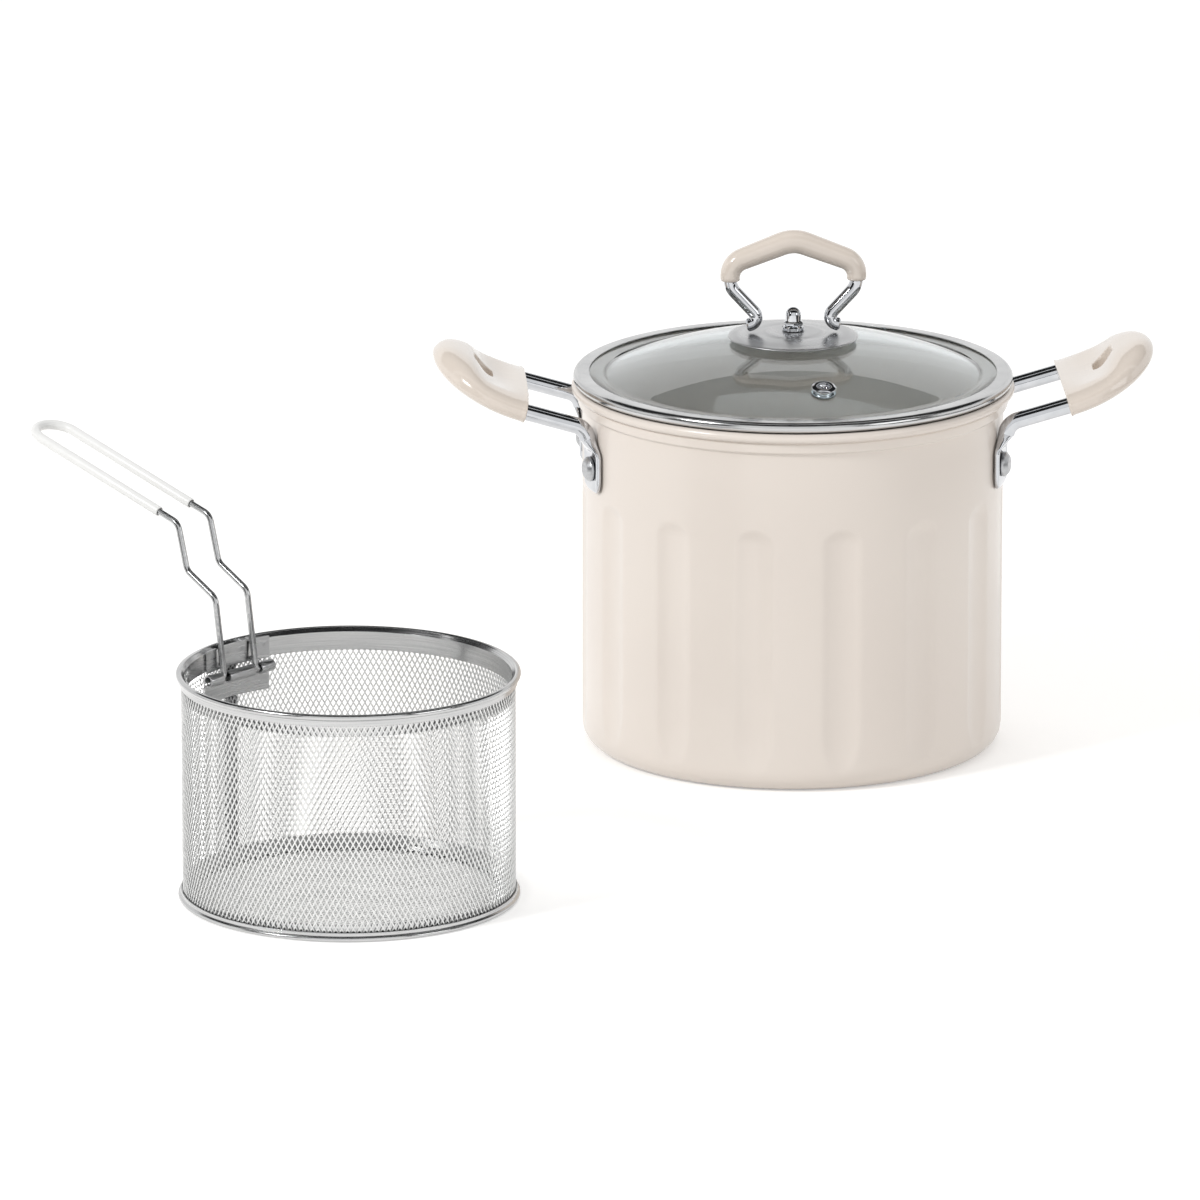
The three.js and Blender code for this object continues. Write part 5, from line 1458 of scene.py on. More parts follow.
@dataclass
class LidHandle:
    """The lid's base plate, bolt and nut, washers, wire loop and grip."""

    lid: GlassLid
    plate_drop: float = 0.0023
    plate_thickness: float = 0.001
    press_depth: float = 0.0003
    press_share: float = 0.5
    press_half: float = 0.12
    gasket: float = 0.0014
    gasket_radius: float = 0.011
    head_radius: float = 0.0045
    head_height: float = 0.003
    nut_corners: float = 0.0106
    nut_skirt: float = 0.0026
    nut_hex: float = 0.0047
    nut_step: float = 0.0007
    nut_edge: float = 0.0002
    nut_bevel: float = 0.0012
    nut_bevel_drop: float = 0.0006
    nut_dome: float = 0.0038
    nut_crown: float = 0.0022
    teeth: int = 18
    tooth: float = 0.0006
    loop_radius: float = 0.00325
    foot_reach: float = 0.0225
    throat: float = 0.0145
    throat_rise: float = 0.0018
    shoulder: float = 0.0304
    shoulder_height: float = 0.225
    turn_height: float = 0.2365
    apex_height: float = 0.2482
    sharp_bend: float = 0.0038
    soft_bend: float = 0.009
    apex_bend: float = 0.016
    grip_start: float = 0.228
    grip_end_radius: float = 0.00475
    grip_apex_radius: float = 0.0057
    loop_edge: float = 0.0008
    grip_edge: float = 0.0009

    @property
    def plate_radius(self) -> float:
        """Radius of the base plate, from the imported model."""
        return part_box("lid_handle_plate")[1].x

    @property
    def plate_bore(self) -> float:
        """Radius of the plate's bore."""
        return self.lid.bolt_radius + FIT_GAP

    @property
    def plate_sphere(self) -> float:
        """Radius of the sphere that the plate is part of."""
        return (self.plate_radius**2 + self.plate_drop**2) / (2 * self.plate_drop)

    @property
    def plate_apex(self) -> float:
        """Height of the top of the plate's sphere."""
        sag = self.plate_sphere - sqrt(self.plate_sphere**2 - self.gasket_radius**2)
        return self.lid.apex + 2 * FIT_GAP + self.gasket + self.plate_thickness + sag

    def plate_height(self, radius: float) -> float:
        """Height of the plate's upper face at a radius."""
        return self.plate_apex - self.plate_sphere + sqrt(self.plate_sphere**2 - radius**2)

    def plate(self) -> Object:
        """Turn the base plate, with a rolled edge and a shallow ring pressed round its middle.

        Returns:
            The plate.
        """
        bore, radius, thick, steps = self.plate_bore, self.plate_radius, self.plate_thickness, 30
        radii = [bore + (radius - bore) * i / steps for i in range(steps)]

        def face(r: float) -> float:
            """Height of the pressed upper face."""
            away = abs(r - self.press_share * radius)
            return self.plate_height(r) - self.press_depth * (
                1 - smooth_share(away, 0.0, self.press_half * radius))

        outline = [(r, face(r)) for r in radii]
        outline += arc((radius - thick / 2, face(radius) - thick / 2), thick / 2, 90.0, -90.0, 8)
        outline += [(r, face(r) - thick) for r in reversed(radii)]
        return turned("handle_base_plate", outline)

    def washer(self, name: str, bottom: float) -> Object:
        """Turn a soft washer over the height of its underside."""
        edge, top = self.gasket * 0.4, bottom + self.gasket
        return turned(name, filleted([
            (self.plate_bore, bottom, edge / 2), (self.gasket_radius, bottom, edge),
            (self.gasket_radius, top, edge), (self.plate_bore, top, edge / 2),
        ]), SMALL_ROUND_STEPS * 2)

    def bolt(self) -> Object:
        """Turn the bolt, with a pan head under the glass.

        Returns:
            The bolt.
        """
        low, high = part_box("lid_bolt")
        head_top = low.z + self.head_height
        return turned("lid_through_bolt", filleted([
            (0.0, low.z), (self.head_radius, low.z, self.head_height * 0.45),
            (self.head_radius, head_top, self.head_height * 0.1),
            (self.lid.bolt_radius, head_top),
            (self.lid.bolt_radius, high.z, self.lid.bolt_radius * 0.2), (0.0, high.z),
        ], closed=False), SMALL_ROUND_STEPS)

    def nut(self) -> Object:
        """Make the acorn nut: a domed cap on a hexagon and a toothed skirt.

        Returns:
            The nut.
        """
        seat, top = self.plate_apex + FIT_GAP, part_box("lid_acorn_nut")[1].z
        depth, skirt = top - self.nut_crown, self.nut_skirt
        bore, corner, edge = self.plate_bore, self.nut_corners / 2, self.nut_edge
        cap = turned("nut_cap", [
            (bore, seat + skirt / 2), (self.nut_dome, seat + skirt / 2),
            *arc((0.0, top - self.nut_dome), self.nut_dome, 0.0, 90.0, 12),
            (0.0, depth), (bore, depth),
        ], SMALL_ROUND_STEPS)
        flat = tau / 6
        angles = [flat * i / 4 for i in range(24)]
        pull = [cos(flat / 2) / cos((a + flat / 2) % flat - flat / 2) for a in angles]
        hexagon = skinned("nut_hexagon", [
            [polar(radius * (p if radius > bore else 1.0), a, height) for a, p in zip(angles, pull)]
            for radius, height in filleted([
                (corner - self.nut_step, seat + skirt * 0.9, edge),
                (corner - edge, seat + skirt * 1.1, edge),
                (corner - edge, seat + self.nut_hex - self.nut_bevel_drop, 1.5 * edge),
                (corner - self.nut_bevel, seat + self.nut_hex, 1.5 * edge),
                (bore, seat + self.nut_hex), (bore, seat + skirt * 0.9),
            ])], looped=True)
        reach, tooth = corner - self.tooth / 2, self.tooth
        flange = turned("nut_flange", filleted([
            (bore, seat), (reach, seat, edge / 2), (reach, seat + skirt * 0.5, 2 * edge),
            (self.nut_dome, seat + skirt, 1.5 * edge), (bore, seat + skirt),
        ]), SMALL_ROUND_STEPS)
        section = filleted([
            (-tooth, 0.0, edge / 2), (tooth, 0.0, edge / 2),
            (tooth * 0.5, skirt * 0.55, edge), (-tooth * 0.5, skirt * 0.55, edge)])
        blank = skinned("nut_tooth", [
            [Vector((x, y * share, z)) for y, z in section]
            for x, share in ((-2 * tooth, 1.0), (tooth * 0.5, 0.6))])
        places = [polar(reach, tau * i / self.teeth, seat) for i in range(self.teeth)]
        teeth = studded("nut_teeth", blank, places, CHROME)
        return joined("acorn_cap_nut", [cap, hexagon, flange, teeth])

    def corners(self) -> list[tuple[Vector, float]]:
        """Place the loop's corners from one foot, over the apex, to the other.

        Returns:
            Each corner and its bend radius.
        """
        foot = self.plate_height(self.foot_reach) + self.loop_radius + 2 * FIT_GAP
        half = [
            (self.foot_reach, foot, 0.0), (self.throat, foot + self.throat_rise, self.sharp_bend),
            (self.shoulder, self.shoulder_height, self.soft_bend),
            (self.shoulder, self.turn_height, self.soft_bend),
        ]
        near = [(Vector((across, 0.0, height)), radius) for across, height, radius in half]
        far = [(Vector((-point.x, 0.0, point.z)), radius) for point, radius in reversed(near)]
        return near + [(Vector((0.0, 0.0, self.apex_height)), self.apex_bend)] + far

    def grip_radius(self, point: Vector) -> float:
        """Radius of the grip at a point, fuller towards the apex."""
        share = smooth_share(point.z, self.grip_start, self.apex_height)
        return self.grip_end_radius + (self.grip_apex_radius - self.grip_end_radius) * share

    def build(self) -> None:
        """Make and dress the lid handle's pieces."""
        side, corners = Vector((0.0, 1.0, 0.0)), self.corners()
        loop = bar("lid_wire_loop", bent_route(corners, side), self.loop_radius, self.loop_edge)
        ends = [(Vector((sign * self.shoulder, 0.0, self.grip_start)), 0.0) for sign in (1, -1)]
        route = bent_route([ends[0], *corners[3:-3], ends[1]], side)
        grip = sleeve(
            "lid_loop_grip", route, self.grip_radius, self.loop_radius + FIT_GAP, self.grip_edge)
        under = self.lid.height(self.gasket_radius, self.lid.thickness) - FIT_GAP - self.gasket
        over = self.lid.apex + FIT_GAP
        parts = [
            (self.plate(), STEEL_PLATE, "lid_handle_plate"),
            (self.washer("upper_soft_washer", over), RUBBER, "lid_upper_washer"),
            (self.washer("lower_soft_washer", under), RUBBER, "lid_lower_washer"),
            (self.bolt(), STEEL_PLATE, "lid_bolt"),
            (self.nut(), CHROME, "lid_acorn_nut"),
            (loop, CHROME, "lid_handle_loop"),
            (grip, GRIP, "lid_handle_grip"),
        ]
        for piece, finish, node in parts:
            enlist(piece, Body.LID, finish, node)


# Basket


@dataclass(frozen=True)
class NetSheet:
    """A sheet of stretched metal: staggered diamonds whose strands twist a little.

    Its pitch and its tall are a diamond's width and height, its strand is a strand's width square
    to its run, and its twist is how far each knot's upper corner stands out of the sheet.
    """

    pitch: float = 0.0027
    tall: float = 0.0050
    strand: float = 0.0006
    thickness: float = 0.0005
    twist: float = 0.00015

    @property
    def reach(self) -> float:
        """How far the sheet's faces stand from its middle."""
        return self.thickness / 2 + self.twist

    def cell(self) -> Object:
        """Make the piece that repeats: a knot with two strands rising from it.

        Returns:
            The piece.
        """
        slant = hypot(self.pitch, self.tall)
        in_x, in_y = self.strand * slant / (2 * self.tall), self.strand * slant / (2 * self.pitch)
        px, py, out = self.pitch / 2, self.tall / 2, self.twist
        left, right = (-in_x, 0.0, 0.0), (in_x, 0.0, 0.0)
        below, above = (0.0, -in_y, -out), (0.0, in_y, out)
        strands = [
            [right, (px, py - in_y, -out), (px - in_x, py, 0.0), above],
            [above, (in_x - px, py, 0.0), (-px, py - in_y, -out), left],
        ]
        shape = bmesh.new()
        half = Vector((0.0, 0.0, self.thickness / 2))
        for corners in [[left, below, right, above], *strands]:
            shape.faces.new([shape.verts.new(Vector(c) + half) for c in corners])
            shape.faces.new([shape.verts.new(Vector(c) - half) for c in reversed(corners)])
        for right_foot, right_top, left_top, left_foot in strands:
            for start, end in ((right_foot, right_top), (left_top, left_foot)):
                start, end = Vector(start), Vector(end)
                wall = (start + half, start - half, end - half, end + half)
                shape.faces.new([shape.verts.new(point) for point in wall])
        bmesh.ops.remove_doubles(shape, verts=shape.verts, dist=MERGE_DISTANCE)
        mesh = bpy.data.meshes.new("net_cell")
        shape.to_mesh(mesh)
        shape.free()
        return placed("net_cell", mesh)

    def laid(self, name: str, tree: ShapeTree, columns: int, rows: int, finish: Finish,
             sizes: dict[str, float]) -> Object:
        """Lay the sheet's cells with a tree, close the strands that its edge cuts and turn it out.

        Args:
            name: The new object's name.
            tree: The tree.
            columns: How many cells it lays across.
            rows: How many rows, half a diamond apart.
            finish: The sheet's finish.
            sizes: The tree's other inputs.

        Returns:
            The new object.
        """
        cell = self.cell()
        piece = tree.shape(scattered(name, []), {
            "Cell": cell, "Columns": columns, "Rows": rows, "Pitch": self.pitch,
            "Rise": self.tall / 2, "Finish": finish.material(), **sizes})
        bpy.data.objects.remove(cell)
        shape = bmesh.new()
        shape.from_mesh(piece.data)
        bmesh.ops.remove_doubles(shape, verts=shape.verts, dist=NET_MERGE_DISTANCE)
        bmesh.ops.holes_fill(shape, edges=[e for e in shape.edges if e.is_boundary], sides=0)
        bmesh.ops.recalc_face_normals(shape, faces=shape.faces)
        shape.to_mesh(piece.data)
        shape.free()
        piece.data.shade_flat()
        return piece

    def rolled(self, name: str, radius: float, low: float, high: float,
               finish: Finish, width: Optional[float] = None) -> Object:
        """Roll the sheet round the Z axis.

        Args:
            name: The new object's name.
            radius: Radius of the sheet's middle.
            low: Height of its lower edge.
            high: Height of its upper edge.
            finish: Its finish.
            width: Length of a strip centred on +X, or None for the whole way round.

        Returns:
            The new object.
        """
        whole_turn = tau * radius
        columns = round((width or whole_turn) / self.pitch)
        rows = int((high - low) / (self.tall / 2)) + 1
        fitted = replace(self, pitch=whole_turn / round(whole_turn / self.pitch))
        return fitted.laid(name, rolled_net(), columns, rows, finish, {
            "Radius": radius, "Low": low, "High": high})

    def disc(self, name: str, radius: float, height: float, turn: float, finish: Finish) -> Object:
        """Cut a flat disc of the sheet.

        Args:
            name: The new object's name.
            radius: The disc's radius.
            height: Height of its middle.
            turn: The angle that its rows are turned by, in degrees.
            finish: Its finish.

        Returns:
            The new object.
        """
        columns = 2 * ceil(radius / self.pitch) + 1
        rows = 2 * ceil(2 * radius / self.tall) + 1
        return self.laid(name, disc_net(), columns, rows, finish, {
            "Keep radius": radius - self.tall / 2, "Radius": radius, "Height": height,
            "Turn": radians(turn)})


@dataclass
class FryBasket:
    """The basket: two nets, their steel bands, the seam and the bracket for the handle."""

    net_radius: float = 0.077
    band_gap: float = 0.0007
    steel: float = 0.0006
    rim_height: float = 0.011
    rim_outer_height: float = 0.0057
    rim_bead: float = 0.0015
    rim_overhang: float = 0.0015
    ring_height: float = 0.0075
    ring_outer_height: float = 0.0042
    ring_bead: float = 0.0012
    ring_lip: float = 0.005
    seam_width: float = 0.0075
    handle_azimuth: float = 134.0
    bracket_steel: float = 0.0008
    bracket_width: float = 0.042
    flange_height: float = 0.010
    pivot_height: float = 0.093
    pivot_inset: float = 0.005
    wire_radius: float = 0.0015
    wire_play: float = 0.0005
    leg_spacing: float = 0.0208
    plate_height: float = 0.0105
    slot_half: float = 0.0023
    weld_radius: float = 0.0011
    weld_rise: float = 0.0002
    weld_steps: int = 20
    flange_welds: tuple[float, ...] = (-0.0165, -0.0055, 0.0055, 0.0165)
    plate_welds: tuple[float, ...] = (-0.0178, -0.0045, 0.0045, 0.0178)
    floor_turn: float = 28.0
    side_sheet: NetSheet = NetSheet()
    floor_sheet: NetSheet = NetSheet(0.0030, 0.0052, 0.0007)
    seam_sheet: NetSheet = NetSheet(0.0023, 0.0050, 0.0009, twist=0.00008)

    @property
    def height(self) -> float:
        """Height of the rim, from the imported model."""
        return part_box("basket_rim_band")[1].z

    @property
    def inner(self) -> float:
        """Inner radius of the bands."""
        return self.net_radius - self.band_gap - self.steel

    @property
    def outer(self) -> float:
        """Outer radius of the bands."""
        return self.net_radius + self.band_gap + self.steel

    @property
    def pivot_radius(self) -> float:
        """Distance of the handle's pivot from the basket's axis."""
        return self.inner - self.pivot_inset

    @property
    def channel_bore(self) -> float:
        """Inner radius of the rolled channel."""
        return self.wire_radius + self.wire_play

    @property
    def bracket_face(self) -> float:
        """Radius that the hinge plate's flange lies against, inside the net."""
        return self.net_radius - self.side_sheet.reach - FIT_GAP

    @property
    def place(self) -> Matrix:
        """The move from the basket's own axis to its place in the frame."""
        middle = sum(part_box("basket_base_ring"), Vector()) / 2
        turn = Matrix.Rotation(radians(self.handle_azimuth), 4, "Z")
        return Matrix.Translation((middle.x, middle.y, 0.0)) @ turn

    def rim_band(self) -> Object:
        """Turn the rim band: a rolled bead over a fold that reaches further down inside the net.

        Returns:
            The band.
        """
        low, outer_low = self.height - self.rim_height, self.height - self.rim_outer_height
        bead, edge = self.rim_bead, self.steel * 0.4
        slot_top = self.height - 2 * bead - self.steel
        centre = (self.outer + self.rim_overhang - bead, self.height - bead)
        roll = arc(centre, bead, -80.0, 150.0, 16)
        fold = filleted([
            roll[-1], (self.inner, centre[1] - bead / 2, edge), (self.inner, low, edge),
            (self.inner + self.steel, low, edge), (self.inner + self.steel, slot_top),
            (self.outer - self.steel, slot_top), (self.outer - self.steel, outer_low, edge),
            (self.outer, outer_low, edge), (self.outer, centre[1] - bead, edge), roll[0],
        ], closed=False)
        return turned("rim_steel_band", roll + fold[1:-1])

    def base_ring(self) -> Object:
        """Turn the base ring, with slots that hold the side net and the bottom net.

        Returns:
            The ring.
        """
        lip, bead, edge = self.inner - self.ring_lip, self.ring_bead, self.steel * 0.4
        groove_low = self.steel
        groove_high = self.steel + 2 * FIT_GAP + 2 * self.floor_sheet.reach
        lip_top = groove_high + self.steel
        wall, slot = self.outer - self.steel, self.inner + self.steel
        roll = arc((self.outer, bead), bead, -90.0, 80.0, 12)
        fold = filleted([
            roll[-1], (self.outer, 2 * bead + edge, edge),
            (self.outer, self.ring_outer_height, edge), (wall, self.ring_outer_height, edge),
            (wall, lip_top), (slot, lip_top),
            (slot, self.ring_height, edge), (self.inner, self.ring_height, edge),
            (self.inner, lip_top, edge), (lip, lip_top, edge), (lip, groove_high, edge),
            (self.inner, groove_high), (self.inner, groove_low), (lip, groove_low, edge / 2),
            (lip, 0.0, edge), roll[0],
        ], closed=False)
        return turned("base_steel_ring", roll + fold[1:-1])

    def hinge_plate(self) -> Object:
        """Bend the hinge plate: a flange on the net, a shelf and three curls of rolled channel.

        Returns:
            The plate.
        """
        half, steel = self.bracket_width / 2, self.bracket_steel
        shelf_top = self.pivot_height - self.channel_bore
        low = shelf_top - self.flange_height

        def section(y: float) -> Ring:
            """Draw the flange and shelf.

            Args:
                y: The place across the plate.

            Returns:
                The section's points.
            """
            back = sqrt(self.bracket_face**2 - y**2)
            corners = filleted([
                (back, low, steel * 0.3), (back, shelf_top, steel * 1.3),
                (self.pivot_radius, shelf_top), (self.pivot_radius, shelf_top - steel),
                (back - steel, shelf_top - steel, steel * 0.3), (back - steel, low, steel * 0.3)])
            return [Vector((x, y, z)) for x, z in corners]

        steps = 24
        bent = skinned("plate_bend", [
            section(half * (2 * i / steps - 1)) for i in range(steps + 1)])
        pivot, bore = (self.pivot_radius, self.pivot_height), self.channel_bore
        curl = arc(pivot, bore + steel, -90.0, -395.0, 30) + arc(pivot, bore, -395.0, -90.0, 30)
        leg, notch, edge = self.leg_spacing / 2, bore, steel * 0.25
        middle, curls = bore + steel / 2, []
        for start, end in ((-half, -leg - notch), (-leg + notch, leg - notch), (leg + notch, half)):
            rings = []
            for y, inset in ((start, edge), (start + edge, 0.0), (end - edge, 0.0), (end, edge)):
                ring = []
                for point in curl:
                    away = Vector(point) - Vector(pivot)
                    away *= (middle + (away.length - middle) * (1 - inset / steel)) / away.length
                    ring.append(Vector((pivot[0] + away.x, y, pivot[1] + away.y)))
                rings.append(ring)
            curls.append(skinned("plate_curl", rings))
        return joined("hinge_bracket", [bent, *curls])

    def upper_plate(self) -> Object:
        """Cut the plate inside the rim band, slotted behind the handle's legs.

        Returns:
            The plate.
        """
        outer = self.inner - FIT_GAP
        half, leg, steel = self.bracket_width / 2, self.leg_spacing / 2, self.bracket_steel
        low = self.pivot_height + self.channel_bore + steel + 2 * FIT_GAP
        top, slot_low = low + self.plate_height, low + 2 * steel
        stops = {half * (2 * i / 28 - 1) for i in range(29)}
        for side in (-1, 1):
            stops |= {side * (leg - self.slot_half), side * (leg + self.slot_half)}
        return curved_plate(
            "upper_bracket", outer - steel, outer, sorted(stops), [low, slot_low, top],
            lambda y, z: z < slot_low or abs(abs(y) - leg) > self.slot_half)

    def welds(self) -> Object:
        """Set the spot welds of the bracket: low domes on its inner faces.

        Returns:
            The welds.
        """
        radius, rise = self.weld_radius, self.weld_rise
        blank = turned("weld_blank", [
            (0.0, -rise), (radius, -rise), (radius, 0.0), (radius * 0.6, rise * 0.8), (0.0, rise),
        ], self.weld_steps)
        blank.data.transform(Matrix.Rotation(pi / 2, 4, "Y"))
        flange = self.bracket_face - self.bracket_steel
        plate = self.inner - FIT_GAP - self.bracket_steel
        below, above = -self.channel_bore, self.channel_bore + self.bracket_steel
        flange_z = self.pivot_height + below - self.flange_height * 0.6
        plate_z = self.pivot_height + above + self.plate_height * 0.72
        spots = [(flange, y, flange_z) for y in self.flange_welds]
        spots += [(plate, y, plate_z) for y in self.plate_welds]
        places = [polar(radius, y / radius, z) for radius, y, z in spots]
        return studded("bracket_spot_welds", blank, places, STEEL_PLATE, facing=-1.0)

    def inner_seam(self) -> Object:
        """Roll the strip of close mesh over the inside of the net's seam.

        Returns:
            The strip.
        """
        low = self.ring_height + FIT_GAP
        high = self.pivot_height - self.channel_bore - self.flange_height - FIT_GAP
        radius = self.net_radius - 2 * FIT_GAP - self.seam_sheet.thickness
        return self.seam_sheet.rolled(
            "inner_seam_mesh", radius, low, high, STEEL_MESH, self.seam_width)

    def outer_seam(self) -> Object:
        """Bend the plain strip over the outside of the net's seam.

        Returns:
            The strip.
        """
        inner, half, steps = self.outer - self.steel, self.seam_width / 2, 8
        low, high = self.ring_outer_height + FIT_GAP, self.height - self.rim_outer_height - FIT_GAP
        across = [half * (2 * i / steps - 1) for i in range(steps + 1)]
        return curved_plate(
            "outer_seam_strip", inner, self.outer, across, [low, high], lambda y, z: True)

    def nets(self) -> tuple[Object, Object]:
        """Roll the side net and cut the bottom net.

        Returns:
            Both nets.
        """
        floor = self.steel + FIT_GAP + self.floor_sheet.reach
        low = floor + self.floor_sheet.reach + self.steel + 2 * FIT_GAP
        high = self.height - 2 * self.rim_bead - self.steel - FIT_GAP
        side = self.side_sheet.rolled("side_mesh", self.net_radius, low, high, STEEL_NET)
        bottom = self.floor_sheet.disc(
            "bottom_mesh", self.inner - FIT_GAP, floor, self.floor_turn, STEEL_NET)
        return side, bottom

    def build(self) -> None:
        """Make, place and dress the basket's pieces."""
        side, bottom = self.nets()
        parts = [
            (side, STEEL_NET, "basket_side_net"),
            (bottom, STEEL_NET, "basket_bottom_net"),
            (self.rim_band(), STEEL_BAND, "basket_rim_band"),
            (self.base_ring(), STEEL_BAND, "basket_base_ring"),
            # The seam's mesh and strip are coloured darker as painted shade.
            (self.inner_seam(), STEEL_MESH, "basket_inner_seam_strip"),
            (self.outer_seam(), STEEL_SEAM, "basket_outer_seam_strip"),
            (self.hinge_plate(), STEEL_PLATE, "bracket_hinge_plate"),
            (self.upper_plate(), STEEL_PLATE, "bracket_upper_plate"),
            (self.welds(), STEEL_PLATE),
        ]
        for piece, finish, *nodes in parts:
            piece.data.transform(self.place)
            enlist(piece, Body.BASKET, finish, *nodes)


@dataclass
class BasketHandle:
    """The folding wire handle with its white sleeve."""

    basket: FryBasket
    stub_inset: float = 0.002
    stub_bend: float = 0.002
    arm_bend: float = 0.006
    side_view: tuple[Pair, ...] = (
        (0.0, 0.0), (0.0054, 0.0373), (0.0185, 0.0099), (0.0058, 0.0218), (0.1004, 0.0276))
    sleeve_from_step: float = 0.0125
    sleeve_wall: float = 0.00055
    sleeve_edge: float = 0.0004

    def outline(self) -> Outline:
        """Add up the side view's steps into each corner's reach and rise from the pivot."""
        return list(zip(*(accumulate(steps) for steps in zip(*self.side_view))))

    def on_handle(self, out: float, up: float, aside: float) -> Vector:
        """Place a point of the side view on a leg."""
        return Vector((self.basket.pivot_radius + out, aside, self.basket.pivot_height + up))

    def build(self) -> None:
        """Bend the wire, draw the sleeve over it and dress both."""
        basket, points = self.basket, self.outline()
        leg, stub = basket.leg_spacing / 2, basket.bracket_width / 2 - self.stub_inset
        radii = [self.stub_bend, self.arm_bend, self.arm_bend, self.arm_bend, leg]

        def half(side: int) -> list[tuple[Vector, float]]:
            """Give one leg's corners, from its stub to the handle's end."""
            bends = [(self.on_handle(x, z, side * leg), r) for (x, z), r in zip(points, radii)]
            return [(self.on_handle(0.0, 0.0, side * stub), 0.0), *bends]

        route = bent_route(half(1) + half(-1)[::-1], Vector((1.0, 0.0, 0.0)))
        wire = bar("basket_handle_bent_wire", route, basket.wire_radius)
        step, end = Vector(points[-2]), Vector(points[-1])
        start = step + (end - step).normalized() * self.sleeve_from_step
        corners = [(self.on_handle(*start, leg), 0.0), (self.on_handle(*end, leg), leg)]
        corners += [(Vector((at.x, -at.y, at.z)), radius) for at, radius in reversed(corners)]
        bore = basket.wire_radius + FIT_GAP
        route = bent_route(corners, Vector((0.0, 1.0, 0.0)))
        cover = sleeve("basket_handle_cover", route, lambda _: bore + self.sleeve_wall, bore,
                       self.sleeve_edge)
        for piece, finish, node in ((wire, STEEL_WIRE, "basket_handle_wire"),
                                    (cover, SLEEVE, "basket_handle_sleeve")):
            piece.data.transform(basket.place)
            enlist(piece, Body.HANDLE, finish, node)


# Studio


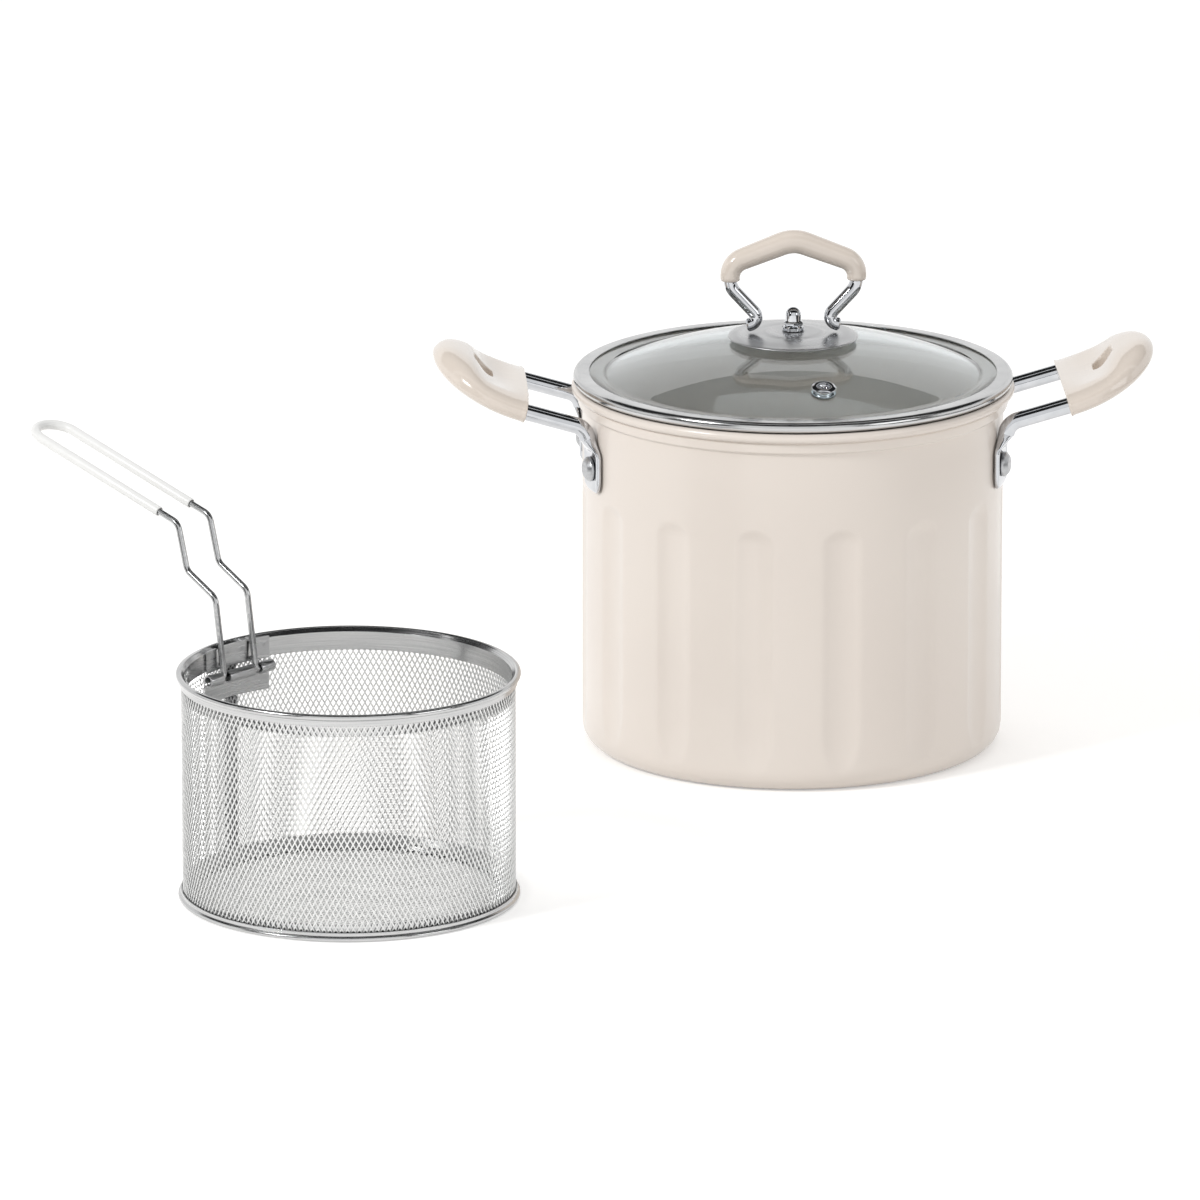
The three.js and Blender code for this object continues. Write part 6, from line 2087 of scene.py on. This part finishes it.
@dataclass
class Studio:
    """The pale floor, the white surround, the lamps, the dark cards and the camera.

    The base pixel is where the middle of the pot's foot falls in the photograph. A lamp has its
    place, the length of its side and its power in watts. A level card has its left, right, near
    and far edges and its height, and an upright card the angles of its edges from straight ahead.
    """

    floor_size: float = 30.0
    floor_colour: str = "efeeec"
    floor_mottle: str = "f3f2f1"
    floor_glow: float = 0.35
    surround: float = 0.6
    picture: float = 1200.0
    pixels_per_metre: float = 2060.0
    base_pixel: Pair = (791.5, 737.0)
    azimuth: float = -2.75
    elevation: float = 15.0
    distance: float = 6.0
    lamp_aim: Triple = (-0.09, -0.1, 0.1)
    lamps: tuple[tuple[str, Triple, float, float], ...] = (
        ("key_lamp", (-2.1, -1.35, 1.8), 0.6, 38.0),
        ("fill_lamp", (1.9, -1.6, 1.0), 1.2, 9.0),
        ("top_lamp", (0.2, 0.9, 2.2), 1.4, 8.0))
    level_cards: tuple[tuple, ...] = (
        ("front_card", -2.6, 2.6, -1.45, -0.22, 1.5),
        ("back_card", -2.6, 2.6, -0.05, 1.7, 1.5),
        ("left_low_card", -2.1, -1.0, -1.3, 0.7, FIT_GAP),
        ("right_low_card", 0.7, 1.8, -1.3, 0.7, FIT_GAP))
    upright_cards: tuple[tuple, ...] = (("left_card", -72.0, -34.0), ("right_card", 30.0, 74.0))
    card_distance: float = 3.0
    card_heights: Pair = (-0.2, 2.2)

    def seen(self, tree: NodeTree) -> Node:
        """Add the nodes that tell where the camera sees a thing.

        Args:
            tree: The tree that they go into.

        Returns:
            The node that gives 1 where it is seen straight, in a reflection or through glass.
        """
        path = add_node(tree, "ShaderNodeLightPath")
        rays = path.outputs["Is Camera Ray"]
        for other in ("Is Glossy Ray", "Is Transmission Ray"):
            rays = add_node(tree, MATH, rays, path.outputs[other], operation="MAXIMUM")
        return rays

    def floor(self) -> None:
        """Lay the floor: white to the camera, but darker where the object's shadow falls."""
        half = self.floor_size / 2
        mesh = bpy.data.meshes.new("studio_floor")
        corners = [(x, y, 0.0) for x, y in (
            (-half, -half), (half, -half), (half, half), (-half, half))]
        mesh.from_pydata(corners, [], [(0, 1, 2, 3)])
        floor = placed("studio_floor", mesh)
        floor.location.z = -FIT_GAP / 3
        paper, shader = new_material("matt white paper", self.floor_colour, 0.9)
        tree = paper.node_tree
        place = add_node(tree, "ShaderNodeTexCoord").outputs["Object"]
        mottle = add_node(tree, "ShaderNodeTexNoise", {
            "Vector": place, "Scale": 2.5, "Detail": 2.0})
        tone = add_node(tree, "ShaderNodeMix", {
            0: mottle, 6: linear(self.floor_colour), 7: linear(self.floor_mottle)},
            data_type="RGBA")
        tree.links.new(tone.outputs[2], shader.inputs["Base Color"])
        shader.inputs["Specular IOR Level"].default_value = 0.1
        shader.inputs["Emission Color"].default_value = (1.0, 1.0, 1.0, 1.0)
        glow = add_node(tree, MATH, self.seen(tree), self.floor_glow, operation="MULTIPLY")
        tree.links.new(glow.outputs[0], shader.inputs["Emission Strength"])
        mesh.materials.append(paper)

    def world(self) -> None:
        """Surround the object with soft light that is white where it is seen."""
        world = bpy.data.worlds.new("white surround")
        bpy.context.scene.world = world
        world.use_nodes = True
        tree = world.node_tree
        strength = add_node(tree, "ShaderNodeMapRange", {
            "Value": self.seen(tree), "To Min": self.surround, "To Max": 1.0})
        background = tree.nodes["Background"]
        background.inputs["Color"].default_value = (1.0, 1.0, 1.0, 1.0)
        tree.links.new(strength.outputs[0], background.inputs["Strength"])

    def hang_lamps(self) -> None:
        """Hang the soft square lamps, which all point at the object."""
        for name, place, size, power in self.lamps:
            light = bpy.data.lights.new(name, "AREA")
            light.shape, light.size, light.energy = "SQUARE", size, power
            lamp = placed(name, light)
            lamp.location = place
            aim = Vector(self.lamp_aim) - lamp.location
            lamp.rotation_euler = aim.to_track_quat("-Z", "Y").to_euler()

    def hang_cards(self) -> None:
        """Hang dark cards that only reflections see, as beside polished metal in a studio."""
        felt, _ = new_material("black felt", "1a1c1e", 1.0)
        cards = {
            name: [(left, near, high), (right, near, high), (right, far, high), (left, far, high)]
            for name, left, right, near, far, high in self.level_cards}
        low, high = self.card_heights
        for name, *ends in self.upright_cards:
            first, last = (radians(end - 90.0) for end in ends)
            places = ((first, low), (last, low), (last, high), (first, high))
            cards[name] = [tuple(polar(self.card_distance, angle, up)) for angle, up in places]
        for name, corners in cards.items():
            mesh = bpy.data.meshes.new(name)
            mesh.from_pydata(corners, [], [(0, 1, 2, 3)])
            mesh.materials.append(felt)
            card = placed(name, mesh)
            card.visible_camera = card.visible_diffuse = card.visible_shadow = False
            card.visible_transmission = card.visible_volume_scatter = False

    def camera(self) -> None:
        """Set the camera so that the pot's foot and scale fall where they do in the photograph."""
        a, e = radians(self.azimuth), radians(self.elevation)
        back = Vector((sin(a) * cos(e), -cos(a) * cos(e), sin(e)))
        right = Vector((cos(a), sin(a), 0.0))
        up = back.cross(right)
        middle = self.picture / 2
        aim = right * (middle - self.base_pixel[0]) / self.pixels_per_metre
        aim += up * (self.base_pixel[1] - middle) / self.pixels_per_metre
        data = bpy.data.cameras.new("photo_camera")
        data.lens = self.pixels_per_metre * self.distance / self.picture * data.sensor_width
        data.clip_end = 100.0
        camera = placed("photo_camera", data)
        camera.matrix_world = Matrix.Translation(aim + back * self.distance) @ Matrix(
            (right, up, back)).transposed().to_4x4()
        bpy.context.scene.camera = camera

    def build(self) -> None:
        """Set up the whole studio."""
        self.camera()
        self.floor()
        self.world()
        self.hang_lamps()
        self.hang_cards()
        bpy.context.scene.view_settings.view_transform = "Standard"


def main() -> None:
    """Build the studio, the pot, its lid and the basket, and report each piece."""
    logging.basicConfig(level=logging.INFO, format="%(name)s: %(message)s")
    Studio().build()
    pot = PotBody()
    pot.build()
    handle = SideHandle(pot)
    for side in Side:
        handle.build(side)
    SideRivets(handle).build()
    lid = GlassLid()
    lid.build()
    LidHandle(lid).build()
    basket = FryBasket()
    basket.build()
    BasketHandle(basket).build()


if __name__ == "__main__":
    main()
